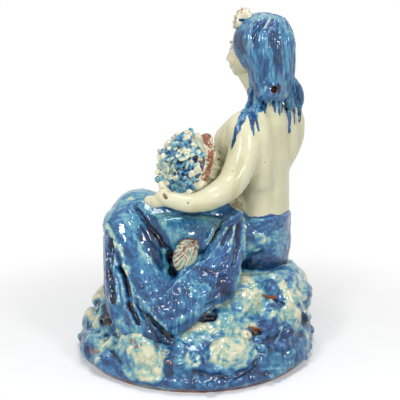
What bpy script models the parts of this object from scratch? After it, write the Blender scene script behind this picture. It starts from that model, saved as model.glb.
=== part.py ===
"""Glazed ceramic mermaid seated on a rock, with a basket of flowers in her lap.

The figurine is hand-built clay, fired as one piece, and hollow under the rock.
It stands on its foot ring at z = 0, with its origin at the middle of that ring.
-Y is the side with the tail fin, -X is the way her knees point and +Z is up.
Lengths are in metres.
"""

from math import cos, pi, radians, sin, sqrt

import bmesh
import bpy
import numpy as np
from mathutils import Matrix, Vector

MM = 0.001
FIGURE_HEIGHT = 280 * MM
PART = FIGURE_HEIGHT / 280  # small steps between the forms are counted in these parts

# Rock and foot
ROCK_RADIUS = 98 * MM  # widest ring of the rock
ROCK_EDGE_HEIGHT = 8 * MM  # height of that ring above the table
FOOT_INSET = 6 * MM  # how far the foot ring's edge lies inside the widest ring
SEAT_HEIGHT = 69 * MM  # top of the rock, where she sits
ROCK_WALL = 11 * MM  # clay left round the hollow, and the width of the foot ring
ROCK_RELIEF = 2.2 * MM  # swells and hollows of the rock's flank

# Hips and torso
SEAT_X = 59 * MM
SEAT_Y = 8 * MM
FACING = radians(40)  # her chest looks this far round from -X towards +Y
HIP_HEIGHT = 49 * MM
HIP_HALF_WIDTH = 27 * MM
HIP_HALF_DEPTH = 16 * MM
TORSO_HEIGHT = 80 * MM  # waist to the top of the shoulders
CHEST_HALF_WIDTH = 29 * MM
CHEST_HALF_DEPTH = 17 * MM
SHOULDER_HALF_SPAN = 34 * MM  # middle of the back to the middle of a shoulder
SHOULDER_RADIUS = 13.5 * MM
BREAST_RADIUS = 12 * MM
NECK_RADIUS = 11 * MM
NECK_HEIGHT = 26 * MM

# Head and hair
HEAD_FACING = radians(30)
HEAD_RISE = 53 * MM  # shoulder line to the middle of the head
SKULL_HALF_DEPTH = 26 * MM
SKULL_HALF_WIDTH = 23 * MM
SKULL_HALF_HEIGHT = 26.5 * MM
FACE_HALF_WIDTH = 17 * MM  # of the opening that the hair leaves
FACE_HALF_HEIGHT = 18 * MM
HAIR_LENGTH = 50 * MM  # middle of the head to the ends on the back
PARTINGS = 12  # grooves between the long locks of the hair
PARTING_DEPTH = 2.2 * MM
PARTING_WIDTH = 1.7 * MM
LOCK_RADIUS = 4.4 * PART
HEAD_SHELL_HEIGHT = 17 * MM
VENT_RADIUS = 2.6 * MM  # firing hole at the nape
VENT_DEPTH = 12 * MM

# Arms
UPPER_ARM_RADIUS = 12.5 * PART
ELBOW_RADIUS = 11 * PART
WRIST_RADIUS = 6.5 * PART
FINGER_RADIUS = 4 * PART

# Tail
THIGH_LENGTH = 118 * MM  # middle of the hips to the front of the knee
THIGH_HALF_WIDTH = 36 * MM
THIGH_HALF_HEIGHT = 28 * MM
KNEE_HALF_HEIGHT = 31 * MM
FIN_THICKNESS = 13 * MM
FOLD_DEPTH = 4.5 * MM

# Basket of flowers
BASKET_RADIUS = 25 * PART
BASKET_DEPTH = 33 * PART
BASKET_END_RADIUS = 13 * PART
FLOWER_RADIUS = 3.6 * PART

# Mesh
CLAY_GRAIN = 1.3 * MM  # grid on which the clay forms are fused
GLAZE_PASSES = 5  # smoothing that rounds the joins as glaze does
FACETS = 10800

UP = Vector((0, 0, 1))
TURN = 2 * pi


def heading(angle):
    """Unit vectors to the front and to the left of someone who looks this way."""
    front = Vector((-cos(angle), sin(angle), 0))
    return front, UP.cross(front)


def through(rows, count):
    """A smooth curve through rows of numbers, as count rows spaced evenly in their index."""
    rows = np.array(rows, float)
    last = len(rows) - 1
    padded = np.vstack([2 * rows[0] - rows[1], rows, 2 * rows[-1] - rows[-2]])
    made = []
    for t in np.linspace(0, last, count):
        i = min(int(t), last - 1)
        p0, p1, p2, p3 = padded[i : i + 4]
        s = t - i
        made.append(
            0.5
            * (
                2 * p1
                + (p2 - p0) * s
                + (2 * p0 - 5 * p1 + 4 * p2 - p3) * s**2
                + (3 * p1 - p0 - 3 * p2 + p3) * s**3
            )
        )
    return np.array(made)


def add_rings(clay, rings):
    """A closed body from rings of points, each end closed with a fan of faces."""
    made = [[clay.verts.new(point) for point in ring] for ring in rings]
    around = len(made[0])
    for low, high in zip(made, made[1:]):
        for k in range(around):
            j = (k + 1) % around
            clay.faces.new((low[k], low[j], high[j], high[k]))
    for ring, turned in ((made[0], True), (made[-1], False)):
        middle = clay.verts.new(sum((v.co for v in ring), Vector()) / around)
        for k in range(around):
            j = (k + 1) % around
            ends = (ring[j], ring[k]) if turned else (ring[k], ring[j])
            clay.faces.new((*ends, middle))


def add_loft(clay, sections, around=32, along=24, fold=None):
    """A body through oval sections, each given as its centre and its two half axes.

    fold(turn, share) gives how far the surface stands out at an angle round the section.
    """
    rows = through([[*c, *a, *b] for c, a, b in sections], along)
    rings = []
    for n, row in enumerate(rows):
        centre, side, front = (Vector(row[i : i + 3]) for i in (0, 3, 6))
        ring = []
        for k in range(around):
            turn = TURN * k / around
            arm = side * cos(turn) + front * sin(turn)
            out = fold(turn, n / (along - 1)) if fold else 0
            ring.append(centre + arm * (1 + out / max(arm.length, MM)))
        rings.append(ring)
    add_rings(clay, rings)


def add_ball(clay, centre, half_axes, axes=None, segments=20):
    """An ellipsoid with its half axes along axes, or along X, Y and Z."""
    turn = Matrix(axes).transposed() if axes else Matrix.Identity(3)
    matrix = Matrix.Translation(centre) @ turn.to_4x4() @ Matrix.Diagonal((*half_axes, 1))
    bmesh.ops.create_uvsphere(
        clay, u_segments=segments, v_segments=segments // 2, radius=1, matrix=matrix
    )


def add_limb(clay, points, radii, around=18):
    """A round limb along a smooth path, with its ends rounded over."""
    rows = through([[*p, r] for p, r in zip(points, radii)], 6 * len(points))
    rings = []
    side = None
    for n, row in enumerate(rows):
        centre = Vector(row[:3])
        ahead = Vector(rows[min(n + 1, len(rows) - 1)][:3] - rows[max(n - 1, 0)][:3]).normalized()
        side = ahead.orthogonal() if side is None else side - ahead * side.dot(ahead)
        side.normalize()
        top = side.cross(ahead)
        turns = [TURN * k / around for k in range(around)]
        rings.append([centre + (side * cos(a) + top * sin(a)) * row[3] for a in turns])
    add_rings(clay, rings)
    for row in (rows[0], rows[-1]):
        add_ball(clay, Vector(row[:3]), (row[3],) * 3, segments=14)


# Places that several forms share
FOOT_RADIUS = ROCK_RADIUS - FOOT_INSET
FRONT, LEFT = heading(FACING)
HEAD_FRONT, HEAD_LEFT = heading(HEAD_FACING)
SEAT = Vector((SEAT_X, SEAT_Y, SEAT_HEIGHT))
WAIST = SEAT + UP * HIP_HEIGHT
SHOULDERS = WAIST + UP * TORSO_HEIGHT
HEAD = SHOULDERS + UP * HEAD_RISE + Vector((-5.5 * PART, 4 * PART, 0))
KNEE = SEAT + Vector((-THIGH_LENGTH, -16 * PART, 36 * PART))
LAP = SEAT + Vector((-THIGH_LENGTH / 2, -10 * PART, 2 * THIGH_HALF_HEIGHT))
BASKET_MOUTH = LAP + Vector((-8 * PART, -22 * PART, 33.5 * PART))
BASKET_AXIS = Vector((-0.45, -0.86, 0.28)).normalized()
FIN_TIP = SEAT + Vector((-25 * PART, -43 * PART, 53 * PART))


def body_point(level, front=0.0, left=0.0):
    """A point on the torso's frame, level above the waist."""
    return WAIST + UP * level + FRONT * front + LEFT * left


ROCK_OUTLINE = [  # height, middle x and y, and half widths along x and y
    (-6 * PART, 0, 0, FOOT_RADIUS, FOOT_RADIUS),
    (0, 0, 0, FOOT_RADIUS, FOOT_RADIUS),
    (ROCK_EDGE_HEIGHT, 0, 0, ROCK_RADIUS, ROCK_RADIUS),
    (0.24 * SEAT_HEIGHT, 0, 0, ROCK_RADIUS - 5 * PART, ROCK_RADIUS - 6 * PART),
    (0.38 * SEAT_HEIGHT, 2 * PART, 1 * PART, ROCK_RADIUS - 8 * PART, ROCK_RADIUS - 14 * PART),
    (0.65 * SEAT_HEIGHT, 7 * PART, 3 * PART, ROCK_RADIUS - 13 * PART, ROCK_RADIUS - 34 * PART),
    (0.88 * SEAT_HEIGHT, 13 * PART, 6 * PART, ROCK_RADIUS - 20 * PART, ROCK_RADIUS - 47 * PART),
    (SEAT_HEIGHT, 17 * PART, 8 * PART, ROCK_RADIUS - 32 * PART, ROCK_RADIUS - 56 * PART),
]

BOULDERS = [  # direction in degrees, height, and half axes along the rock, outward and up
    (-120, 21, 19, 11, 17),
    (-98, 15, 14, 6, 12),
    (-74, 22, 21, 12, 17),
    (-52, 38, 13, 9, 19),
    (-36, 42, 14, 13, 21),
    (-30, 15, 22, 7, 9),
    (-12, 22, 17, 7, 13),
    (-9, 47, 15, 9, 13),
    (-152, 16, 22, 9, 11),
    (-175, 20, 16, 8, 14),
    (165, 31, 14, 11, 15),
    (150, 36, 16, 14, 18),
    (143, 14, 20, 8, 10),
    (124, 26, 22, 13, 18),
    (104, 40, 24, 16, 20),
    (96, 14, 20, 5, 10),
    (76, 26, 22, 13, 16),
    (56, 42, 24, 15, 18),
    (46, 16, 20, 8, 12),
    (27, 30, 18, 11, 18),
    (14, 50, 14, 10, 12),
]


def crags(turn, share):
    """Swells of the rock's flank, which die out at its foot and at the seat."""
    swell = sin(5 * turn + 1.1 + 4 * share) + 0.8 * sin(9 * turn - 7 * share)
    return ROCK_RELIEF * swell * sin(pi * min(max(1.6 * share - 0.6, 0), 1))


def add_rock(clay):
    """The mound that she sits on, a low drum that is rounded over at the seat."""
    sections = [((x, y, z), (a, 0, 0), (0, b, 0)) for z, x, y, a, b in ROCK_OUTLINE]
    add_loft(clay, sections, around=72, along=28, fold=crags)
    under_knees = Vector((KNEE.x + 24 * PART, SEAT_Y + 4 * PART, 0.68 * SEAT_HEIGHT))
    add_ball(clay, under_knees, (31 * PART, 31 * PART, KNEE.z - under_knees.z - 25 * PART))


def rock_surface(angle, height):
    """The point of the mound's flank in this direction, at this height."""
    levels = [row[0] for row in ROCK_OUTLINE]
    x, y, a, b = (np.interp(height, levels, [row[i] for row in ROCK_OUTLINE]) for i in range(1, 5))
    return Vector((x + a * cos(angle), y + b * sin(angle), height))


def add_boulders(clay):
    """Rounded stones pressed on the mound's flank, all the way round."""
    for degrees, height, along, out, tall in BOULDERS:
        angle = radians(degrees)
        outward = Vector((cos(angle), sin(angle), 0))
        axes = (UP.cross(outward), outward, UP)
        centre = rock_surface(angle, height * PART) - outward * out * 0.35 * PART
        add_ball(clay, centre, (along * PART, out * PART, tall * PART), axes)


def add_hips(clay):
    """The band of tail that she sits on, a barrel with a rounded lower edge."""
    levels = [(-0.04, 0.85), (0.04, 0.98), (0.2, 1.03), (0.6, 1.04), (0.84, 1.05), (0.91, 0.97)]
    sections = [
        (
            SEAT + UP * HIP_HEIGHT * level,
            LEFT * HIP_HALF_WIDTH * share,
            FRONT * HIP_HALF_DEPTH * share,
        )
        for level, share in levels
    ]
    add_loft(clay, sections)


def add_torso(clay):
    """Back, chest and neck, with the shoulders rounded over."""
    levels = [  # share of the torso, forward, half width, half depth
        (-0.1, 0, HIP_HALF_WIDTH, HIP_HALF_DEPTH),
        (0.0, 0, HIP_HALF_WIDTH, HIP_HALF_DEPTH),
        (0.3, 0, 0.93 * HIP_HALF_WIDTH, 0.93 * HIP_HALF_DEPTH),
        (0.6, 4 * PART, CHEST_HALF_WIDTH, CHEST_HALF_DEPTH + 2 * PART),
        (0.85, 4 * PART, SHOULDER_HALF_SPAN - 3 * PART, CHEST_HALF_DEPTH),
        (0.98, 3 * PART, SHOULDER_HALF_SPAN - 8 * PART, 0.68 * CHEST_HALF_DEPTH),
        (1.06, 2 * PART, NECK_RADIUS + 4 * PART, NECK_RADIUS),
    ]
    sections = [
        (body_point(TORSO_HEIGHT * level, front), LEFT * width, FRONT * depth)
        for level, front, width, depth in levels
    ]
    add_loft(clay, sections, along=30)
    axes = (LEFT, FRONT, UP)
    chest = body_point(0.78 * TORSO_HEIGHT, 0.6 * CHEST_HALF_DEPTH)
    add_ball(clay, chest, (0.9 * CHEST_HALF_WIDTH, 0.85 * CHEST_HALF_DEPTH, 27 * PART), axes)
    for side in (1, -1):
        front = CHEST_HALF_DEPTH + 11 * PART
        breast = body_point(0.77 * TORSO_HEIGHT, front, 0.47 * CHEST_HALF_WIDTH * side)
        add_ball(clay, breast, (BREAST_RADIUS, BREAST_RADIUS, BREAST_RADIUS), axes)
        root = body_point(0.96 * TORSO_HEIGHT, 0.75 * CHEST_HALF_DEPTH, 0.6 * CHEST_HALF_WIDTH * side)
        slope = [root, (root + breast) / 2 + UP * 2 * PART, breast]
        add_limb(clay, slope, [0.6 * BREAST_RADIUS, 0.85 * BREAST_RADIUS, BREAST_RADIUS])
        blade = body_point(0.72 * TORSO_HEIGHT, -3 * PART, 0.72 * CHEST_HALF_WIDTH * side)
        add_ball(clay, blade, (0.45 * CHEST_HALF_WIDTH, 0.75 * CHEST_HALF_DEPTH, 24 * PART), axes)
        add_ball(clay, shoulder(side), (SHOULDER_RADIUS,) * 3)
    belly = body_point(0.16 * TORSO_HEIGHT, 0.5 * HIP_HALF_DEPTH)
    add_ball(clay, belly, (0.75 * HIP_HALF_WIDTH, HIP_HALF_DEPTH - 1 * PART, 20 * PART), axes)
    neck = body_point(TORSO_HEIGHT - 4 * PART, 2 * PART)
    jaw = neck + UP * (NECK_HEIGHT + 8 * PART) + FRONT * 3 * PART
    add_limb(clay, [neck, (neck + jaw) / 2, jaw], [NECK_RADIUS + 2 * PART, NECK_RADIUS, NECK_RADIUS])


def shoulder(side):
    """The middle of her left shoulder for side 1, and of her right one for -1."""
    return body_point(TORSO_HEIGHT - 10 * PART, 2 * PART, side * SHOULDER_HALF_SPAN)


def add_arms(clay):
    """Both arms come forward round the basket, the left one under its mouth."""
    hold = BASKET_MOUTH - UP * (BASKET_RADIUS + 1 * PART)
    path = [
        shoulder(1),
        shoulder(1) + Vector((2, -5, -18)) * PART,
        shoulder(1) + Vector((-2, -9, -32)) * PART,
        shoulder(1) + Vector((-10, -17, -45)) * PART,
        hold + Vector((21, -21, 2)) * PART,
        hold + Vector((5, -25, -2)) * PART,
        hold + Vector((-12, -25, 1)) * PART,
        hold + Vector((-17, -22, 2)) * PART,
    ]
    radii = [
        SHOULDER_RADIUS,
        UPPER_ARM_RADIUS + 0.5 * PART,
        UPPER_ARM_RADIUS,
        ELBOW_RADIUS,
        ELBOW_RADIUS - 1.8 * PART,
        WRIST_RADIUS + 0.6 * PART,
        WRIST_RADIUS - 0.6 * PART,
        WRIST_RADIUS - 0.6 * PART,
    ]
    add_limb(clay, path, radii)
    palm = path[-1]
    thumb = [palm + Vector((3, 1, 2)) * PART, palm + Vector((-1, 2, 9)) * PART]
    add_limb(clay, thumb, [FINGER_RADIUS, FINGER_RADIUS - 1.2 * PART])
    fingers = [palm, palm + Vector((-6, 1, -3)) * PART, palm + Vector((-10, 3, -2)) * PART]
    add_limb(clay, fingers, [FINGER_RADIUS + 1 * PART, FINGER_RADIUS + 0.6 * PART, FINGER_RADIUS])
    far = BASKET_MOUTH - BASKET_AXIS * BASKET_DEPTH
    path = [
        shoulder(-1),
        shoulder(-1) + Vector((1, 3, -16)) * PART,
        shoulder(-1) + Vector((-5, 8, -34)) * PART,
        shoulder(-1) + Vector((-14, 11, -50)) * PART,
        far + Vector((30, 32, -18)) * PART,
        far + Vector((14, 20, -16)) * PART,
        far + Vector((0, 10, -12)) * PART,
    ]
    radii = [
        SHOULDER_RADIUS + 0.5 * PART,
        UPPER_ARM_RADIUS,
        UPPER_ARM_RADIUS - 1 * PART,
        ELBOW_RADIUS - 0.5 * PART,
        ELBOW_RADIUS - 2 * PART,
        WRIST_RADIUS + 0.5 * PART,
        WRIST_RADIUS,
    ]
    add_limb(clay, path, radii)


def add_head(clay):
    """Head and face, under hair that falls straight to the back and shoulders."""
    axes = (HEAD_LEFT, HEAD_FRONT, UP)
    skull = (SKULL_HALF_WIDTH, SKULL_HALF_DEPTH, SKULL_HALF_HEIGHT)
    add_ball(clay, HEAD, skull, axes, segments=28)
    face = HEAD + HEAD_FRONT * 0.55 * SKULL_HALF_DEPTH - UP * 9 * PART
    add_ball(clay, face, (14.5 * PART, 14 * PART, 16 * PART), axes)
    chin = face + HEAD_FRONT * 7 * PART - UP * 11 * PART
    add_ball(clay, chin, (5.5 * PART, 5.5 * PART, 4.5 * PART), axes)
    lips = face + HEAD_FRONT * 12.5 * PART - UP * 5.5 * PART
    add_ball(clay, lips, (3.6 * PART, 2.4 * PART, 1.8 * PART), axes)
    nose = face + HEAD_FRONT * 14 * PART + UP * 1 * PART
    add_ball(clay, nose, (2.2 * PART, 3 * PART, 4.2 * PART), axes)
    sections = [
        (
            HEAD - UP * HAIR_LENGTH * share - HEAD_FRONT * behind,
            HEAD_LEFT * width,
            HEAD_FRONT * depth,
        )
        for share, behind, width, depth in HAIR_FALL
    ]
    add_loft(clay, sections)
    seat = HEAD + UP * (SKULL_HALF_HEIGHT - 13 * PART) + HEAD_FRONT * 15 * PART
    for spread in (-1, 0, 1):
        rise = 0.5 * HEAD_SHELL_HEIGHT - 1.5 * abs(spread) * PART
        lobe = seat + HEAD_LEFT * spread * 5.5 * PART + UP * rise
        add_ball(clay, lobe, (4.6 * PART, 6.5 * PART, 0.5 * HEAD_SHELL_HEIGHT), axes, segments=14)


HAIR_FALL = [  # share of the hair's length, backward, half width, half depth
    (-0.1, 4 * PART, 23 * PART, 22 * PART),
    (0.3, 8.5 * PART, 21 * PART, 20 * PART),
    (0.5, 9.5 * PART, 19 * PART, 18 * PART),
    (0.65, 12 * PART, 24 * PART, 17 * PART),
    (0.8, 14.5 * PART, 31 * PART, 14.5 * PART),
    (0.93, 14 * PART, 32 * PART, 10.5 * PART),
    (1.03, 13.5 * PART, 30 * PART, 8 * PART),
    (1.12, 13 * PART, 25 * PART, 5 * PART),
]


def on_hair(drop, turn):
    """A place on the hair, drop below the middle of the head and turned from its back."""
    if drop < 0:
        round_over = sqrt(max(1 - (drop / SKULL_HALF_HEIGHT) ** 2, 0))
        behind, wide, deep = 0, SKULL_HALF_WIDTH * round_over, SKULL_HALF_DEPTH * round_over
    else:
        shares = [row[0] for row in HAIR_FALL]
        share = drop / HAIR_LENGTH
        behind, wide, deep = (np.interp(share, shares, [row[i] for row in HAIR_FALL]) for i in (1, 2, 3))
    back = behind + deep * cos(turn)
    return HEAD - UP * drop - HEAD_FRONT * back + HEAD_LEFT * wide * sin(turn)


def parting_lines():
    """Where the hair is parted into locks, from the crown to the ends, and the hairline."""
    side_turn = radians(100)
    lines = []
    for n in range(PARTINGS):
        turn = side_turn * (2 * n / (PARTINGS - 1) - 1)
        length = HAIR_LENGTH * (0.9 + 0.1 * sin(2.3 * n) if abs(turn) < radians(80) else 0.65)
        crown = 0.9 * SKULL_HALF_HEIGHT
        line = []
        for share in (0, 0.1, 0.25, 0.42, 0.6, 0.8, 1):
            drop = (crown + length) * share - crown
            sway = radians(4) * sin(5 * share + 2 * n)
            line.append(on_hair(drop, turn * min(1, 0.5 + 2 * share) + sway))
        lines.append(np.array(line))
    hairline = []
    for degrees in range(-35, 216, 25):
        aside = FACE_HALF_WIDTH * cos(radians(degrees))
        rise = FACE_HALF_HEIGHT * sin(radians(degrees)) - 3 * PART
        share = 1 - (aside / SKULL_HALF_WIDTH) ** 2 - (rise / SKULL_HALF_HEIGHT) ** 2
        ahead = SKULL_HALF_DEPTH * sqrt(share)
        hairline.append(HEAD + HEAD_LEFT * aside + HEAD_FRONT * ahead + UP * rise)
    lines.append(np.array(hairline))
    return lines


LOCKS = [  # left, front and height over the shoulders, in mm
    ((20, 2, 16), (33, 1, 6), (43, 0, -8), (50, -1, -26)),
    ((22, -4, 10), (33, -5, 3), (37, -7, -9)),
    ((18, -6, 10), (23, -9, 1), (25, -12, -14)),
    ((6, -9, 12), (8, -12, 6), (8.5, -13, 0)),
    ((-5, -11, 12), (-4, -14, 2), (-3, -17, -14)),
    ((-13, -10, 12), (-13, -14, 2), (-13, -16.5, -9)),
    ((-22, -7, 12), (-24, -11, 3), (-22, -15, -6)),
    ((-24, -2, 20), (-33, -6, 9), (-37, -9, -2)),
]


def add_locks(clay):
    """Locks of hair that end in points on the shoulders and the back."""
    for lock in LOCKS:
        path = [
            body_point(TORSO_HEIGHT + rise * PART, front * PART, left * PART)
            for left, front, rise in lock
        ]
        last = len(path) - 1
        add_limb(clay, path, [LOCK_RADIUS * (1 - 0.7 * n / last) for n in range(last + 1)])
    gathered = body_point(TORSO_HEIGHT + 2 * PART, -3 * PART, 27 * PART)
    add_ball(clay, gathered, (7 * PART, 7 * PART, 6 * PART))


def add_thighs(clay):
    """Both thighs as one thick tail, from the hips to the bend of the knee."""
    reach = THIGH_LENGTH
    across = THIGH_HALF_WIDTH
    tall = THIGH_HALF_HEIGHT
    levels = [  # share of the length, y, middle height over the seat, half width, half height
        (0.02, 0, tall - 4 * PART, across - 12 * PART, tall - 3 * PART),
        (0.28, -4 * PART, tall, across - 8 * PART, tall),
        (0.5, -10 * PART, tall + 1 * PART, across - 1 * PART, tall),
        (0.7, -14 * PART, tall + 4 * PART, across - 2 * PART, tall + 1 * PART),
        (0.87, -15 * PART, 36 * PART, across - 6 * PART, KNEE_HALF_HEIGHT),
        (1.0, -16 * PART, 37 * PART, across - 11 * PART, KNEE_HALF_HEIGHT - 5 * PART),
        (1.09, -17 * PART, 37 * PART, across - 22 * PART, KNEE_HALF_HEIGHT - 17 * PART),
    ]
    sections = [
        (SEAT + Vector((-reach * share, y, z)), (0, -width, 0), (0, 0, height))
        for share, y, z, width, height in levels
    ]
    add_loft(clay, sections, around=36, along=30)


def folds(count, phase):
    """Folds that run down a section, deeper towards its far end."""

    def stand_out(turn, share):
        return FOLD_DEPTH * share * (abs(sin(count * turn / 2 + phase)) - 0.6)

    return stand_out


def add_shin(clay):
    """The lower tail, which drops from the knee and spreads over the rock in folds."""
    levels = [  # down, x and y from the knee, and half widths along x and y
        (-20, 8, -8, 11, 12),
        (-11, 5, -10, 19, 20),
        (3, 8, -14, 23, 22),
        (14, 11, -17, 26, 23),
        (27, 14, -22, 28, 23),
        (45, 18, -30, 31, 26),
        (60, 25, -38, 34, 28),
        (70, 29, -48, 28, 21),
        (77, 33, -54, 20, 14),
    ]
    sections = [
        (KNEE + Vector((x, y, -down)) * PART, Vector((a, 0, 0)) * PART, Vector((0, b, 0)) * PART)
        for down, x, y, a, b in levels
    ]
    add_loft(clay, sections, around=72, along=30, fold=folds(9, 0.4))


def add_fin(clay):
    """The tail fin, which folds back up the rock and narrows to a tip at the hip."""
    edges = [  # left and right edge from the tip, in mm, and share of the thickness
        ((-5, 0, -2), (2, 0, 0), 0.4),
        ((-13, -2, -11), (4, 3, -20), 0.6),
        ((-21, -3, -23), (3, 0, -35), 0.8),
        ((-29, -5, -33), (1, -5, -44), 1.0),
        ((-37, -8, -38), (-2, -12, -56), 1.1),
        ((-46, -12, -42), (-6, -18, -63), 1.2),
        ((-52, -14, -45), (-23, -27, -69), 1.3),
        ((-64, -13, -48), (-40, -36, -82), 1.4),
        ((-79, -11, -56), (-60, -39, -88), 1.4),
    ]
    sections = []
    for left, right, share in edges:
        low, high = (FIN_TIP + Vector(p) * PART for p in (left, right))
        across = (high - low) / 2
        deep = Vector((0, 1, 0))
        deep = (deep - across * deep.dot(across) / across.length_squared).normalized()
        sections.append(((low + high) / 2, across, deep * FIN_THICKNESS * 0.8 * share))
    add_loft(clay, sections, around=72, along=30, fold=folds(13, 0.2))
    knob = FIN_TIP + Vector((-11, -20, -53)) * PART
    add_ball(clay, knob, (8 * PART, 6 * PART, 8 * PART))


def add_tail_shell(clay):
    """A small shell in the notch between the lower tail and the fin."""
    place = KNEE + Vector((51, -37, -15)) * PART
    lean = Matrix.Rotation(radians(15), 3, "Y")
    axes = [lean @ Vector(v) for v in ((1, 0, 0), (0, 1, 0), (0, 0, 1))]
    add_ball(clay, place, (8 * PART, 6 * PART, 13.5 * PART), axes)


def add_basket(clay):
    """A round basket whose mouth looks out over her left arm, heaped with flowers."""
    side = UP.cross(BASKET_AXIS).normalized()
    over = BASKET_AXIS.cross(side)
    rings = [(1.0, 0.6), (0.85, 1.0), (0.5, 1.25), (0.12, 1.75), (0.0, 1.85), (-0.06, 1.7)]
    sections = []
    for share, spread in rings:
        centre = BASKET_MOUTH - BASKET_AXIS * BASKET_DEPTH * share
        radius = min(BASKET_END_RADIUS * spread, BASKET_RADIUS)
        sections.append((centre, side * radius, over * radius))
    add_loft(clay, sections)
    petals = 11
    for k in range(petals):
        turn = TURN * k / petals
        out = side * cos(turn) + over * sin(turn)
        along = BASKET_AXIS.cross(out)
        place = BASKET_MOUTH + out * (BASKET_RADIUS - 0.5 * PART)
        add_ball(clay, place, (3.2 * PART, 5.5 * PART, 3.6 * PART), (out, along, BASKET_AXIS), segments=12)
    golden = pi * (3 - sqrt(5))
    flowers = 38
    for k in range(flowers):
        reach = (BASKET_RADIUS - 4 * PART) * sqrt((k + 0.5) / flowers)
        out = side * cos(golden * k) + over * sin(golden * k)
        dome = 5 * PART * (1 - (reach / BASKET_RADIUS) ** 2)
        place = BASKET_MOUTH + out * reach + BASKET_AXIS * (dome + 1 * PART)
        add_ball(clay, place, (FLOWER_RADIUS,) * 3, segments=10)


RELIEF = [  # how far it stands out, its half width, and x and z of its places, seen from -Y
    (-3.0, 2.2, [(-67.5, 95.5), (-68.5, 82), (-68.5, 67), (-66.5, 56), (-65, 49)]),
    (1.4, 1.8, [(-64, 96.5), (-65, 83), (-64.5, 68.5), (-63, 58)]),
    (-3.8, 2.4, [(-59.5, 77.5), (-54.5, 69.5), (-52, 60), (-48.5, 51), (-43.5, 43.5)]),
    (1.8, 2.0, [(-64.5, 74), (-59, 66), (-56.5, 57.5), (-53, 48), (-47.5, 40.5)]),
    (-3.4, 2.4, [(-35.5, 51), (-29.5, 45), (-24, 40), (-17, 37)]),
    (1.7, 1.8, [(-45.5, 61.5), (-41, 59), (-36.5, 55), (-32.5, 51.5), (-26.5, 47), (-20.5, 41.5)]),
    (1.4, 2.4, [(-74, 108.5), (-68, 101.5), (-61, 94), (-56.5, 84), (-53.5, 75.5)]),
    (-3.4, 2.8, [(-47, 127), (-42, 121.5), (-36, 112.5), (-28, 102), (-21, 95), (-18, 86), (-16.5, 76)]),
    (1.2, 3.0, [(-53, 123.5), (-45, 114), (-36.5, 102.5), (-28.5, 92.5)]),
    (2.0, 2.4, [(34.5, 120.5), (25, 114.5), (14, 106.5), (8, 96.5), (2.5, 87), (-6.5, 81), (-15, 76)]),
    (1.6, 1.9, [(28.5, 114.5), (23.5, 108), (19.5, 100), (14, 92), (5.5, 84.5)]),
    (1.6, 1.8, [(32, 116), (30, 105.5), (26.5, 94.5), (23.5, 84.5)]),
    (1.5, 2.4, [(37, 116.5), (37.5, 101.5), (37, 83.5), (32.5, 68.5)]),
    (-2.2, 2.0, [(20.5, 112.5), (16, 106), (12.5, 99.5)]),
    (-2.2, 2.0, [(27.5, 112.5), (23.5, 105), (20.5, 98)]),
    (-2.2, 2.1, [(34.5, 110.5), (33, 96.5), (29, 81.5)]),
    (2.0, 2.8, [(-21, 65), (-15, 71), (-6, 77.5), (2.5, 84)]),
    (-1.6, 2.6, [(-8.5, 71), (-4, 63), (3.5, 57.5), (12.5, 58.5)]),
    (1.2, 2.8, [(-11.5, 64.5), (-7, 56.5), (2, 51)]),
]


def stroke(lift, places, line, height, width):
    """lift, and what a stroke along a line adds to it at these places."""
    off = np.full(len(places), ROCK_RADIUS)
    for start, end in zip(line, line[1:]):
        run = end - start
        along = np.clip((places - start) @ run / (run @ run), 0, 1)
        off = np.minimum(off, np.linalg.norm(places - start - along[:, None] * run, axis=1))
    return lift + height * np.exp(-1.2 * (off / width) ** 2)


def tooled(mesh):
    """Folds of the tail and ribs of the fin, pinched up, and the hair's locks, pressed in."""
    count = 3 * len(mesh.vertices)
    places = np.empty(count)
    facing = np.empty(count)
    mesh.vertices.foreach_get("co", places)
    mesh.vertices.foreach_get("normal", facing)
    places = places.reshape(-1, 3)
    facing = facing.reshape(-1, 3)
    lift = np.zeros(len(places))
    for height, width, line in RELIEF:
        lift = stroke(lift, places[:, [0, 2]], np.array(line) * PART, height * PART, width * PART)
    lift *= (facing[:, 1] < 0.3) & (places[:, 1] < 0)
    for line in parting_lines():
        lift = stroke(lift, places, line, -PARTING_DEPTH, PARTING_WIDTH)
    mesh.vertices.foreach_set("co", (places + facing * lift[:, None]).ravel())


def cutter(name, mesh):
    """A helper body that only cuts, and is left out of a render."""
    helper = bpy.data.objects.new(name, mesh)
    bpy.context.scene.collection.objects.link(helper)
    helper.hide_render = True
    helper.display_type = "WIRE"
    return helper


def mesh_from(clay, name):
    bmesh.ops.recalc_face_normals(clay, faces=clay.faces)
    mesh = bpy.data.meshes.new(name)
    clay.to_mesh(mesh)
    clay.free()
    return mesh


def table_cutter():
    """Everything below the table, so that the foot ring is flat."""
    size = 3 * ROCK_RADIUS
    block = bmesh.new()
    bmesh.ops.create_cube(block, size=size, matrix=Matrix.Translation((0, 0, -size / 2)))
    return cutter("below_table", mesh_from(block, "below_table"))


def hollow_cutter():
    """The hollow under the rock, which leaves a wall of even thickness."""
    sections = []
    for z, x, y, a, b in ROCK_OUTLINE:
        if z > ROCK_EDGE_HEIGHT:
            sections.append(((x, y, z - ROCK_WALL), (a - ROCK_WALL, 0, 0), (0, b - ROCK_WALL, 0)))
        elif z != 0:
            reach = FOOT_RADIUS - ROCK_WALL
            sections.append(((x, y, min(z, 0)), (reach, 0, 0), (0, reach, 0)))
    block = bmesh.new()
    add_loft(block, sections, around=48, along=14)
    return cutter("hollow", mesh_from(block, "hollow"))


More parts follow.
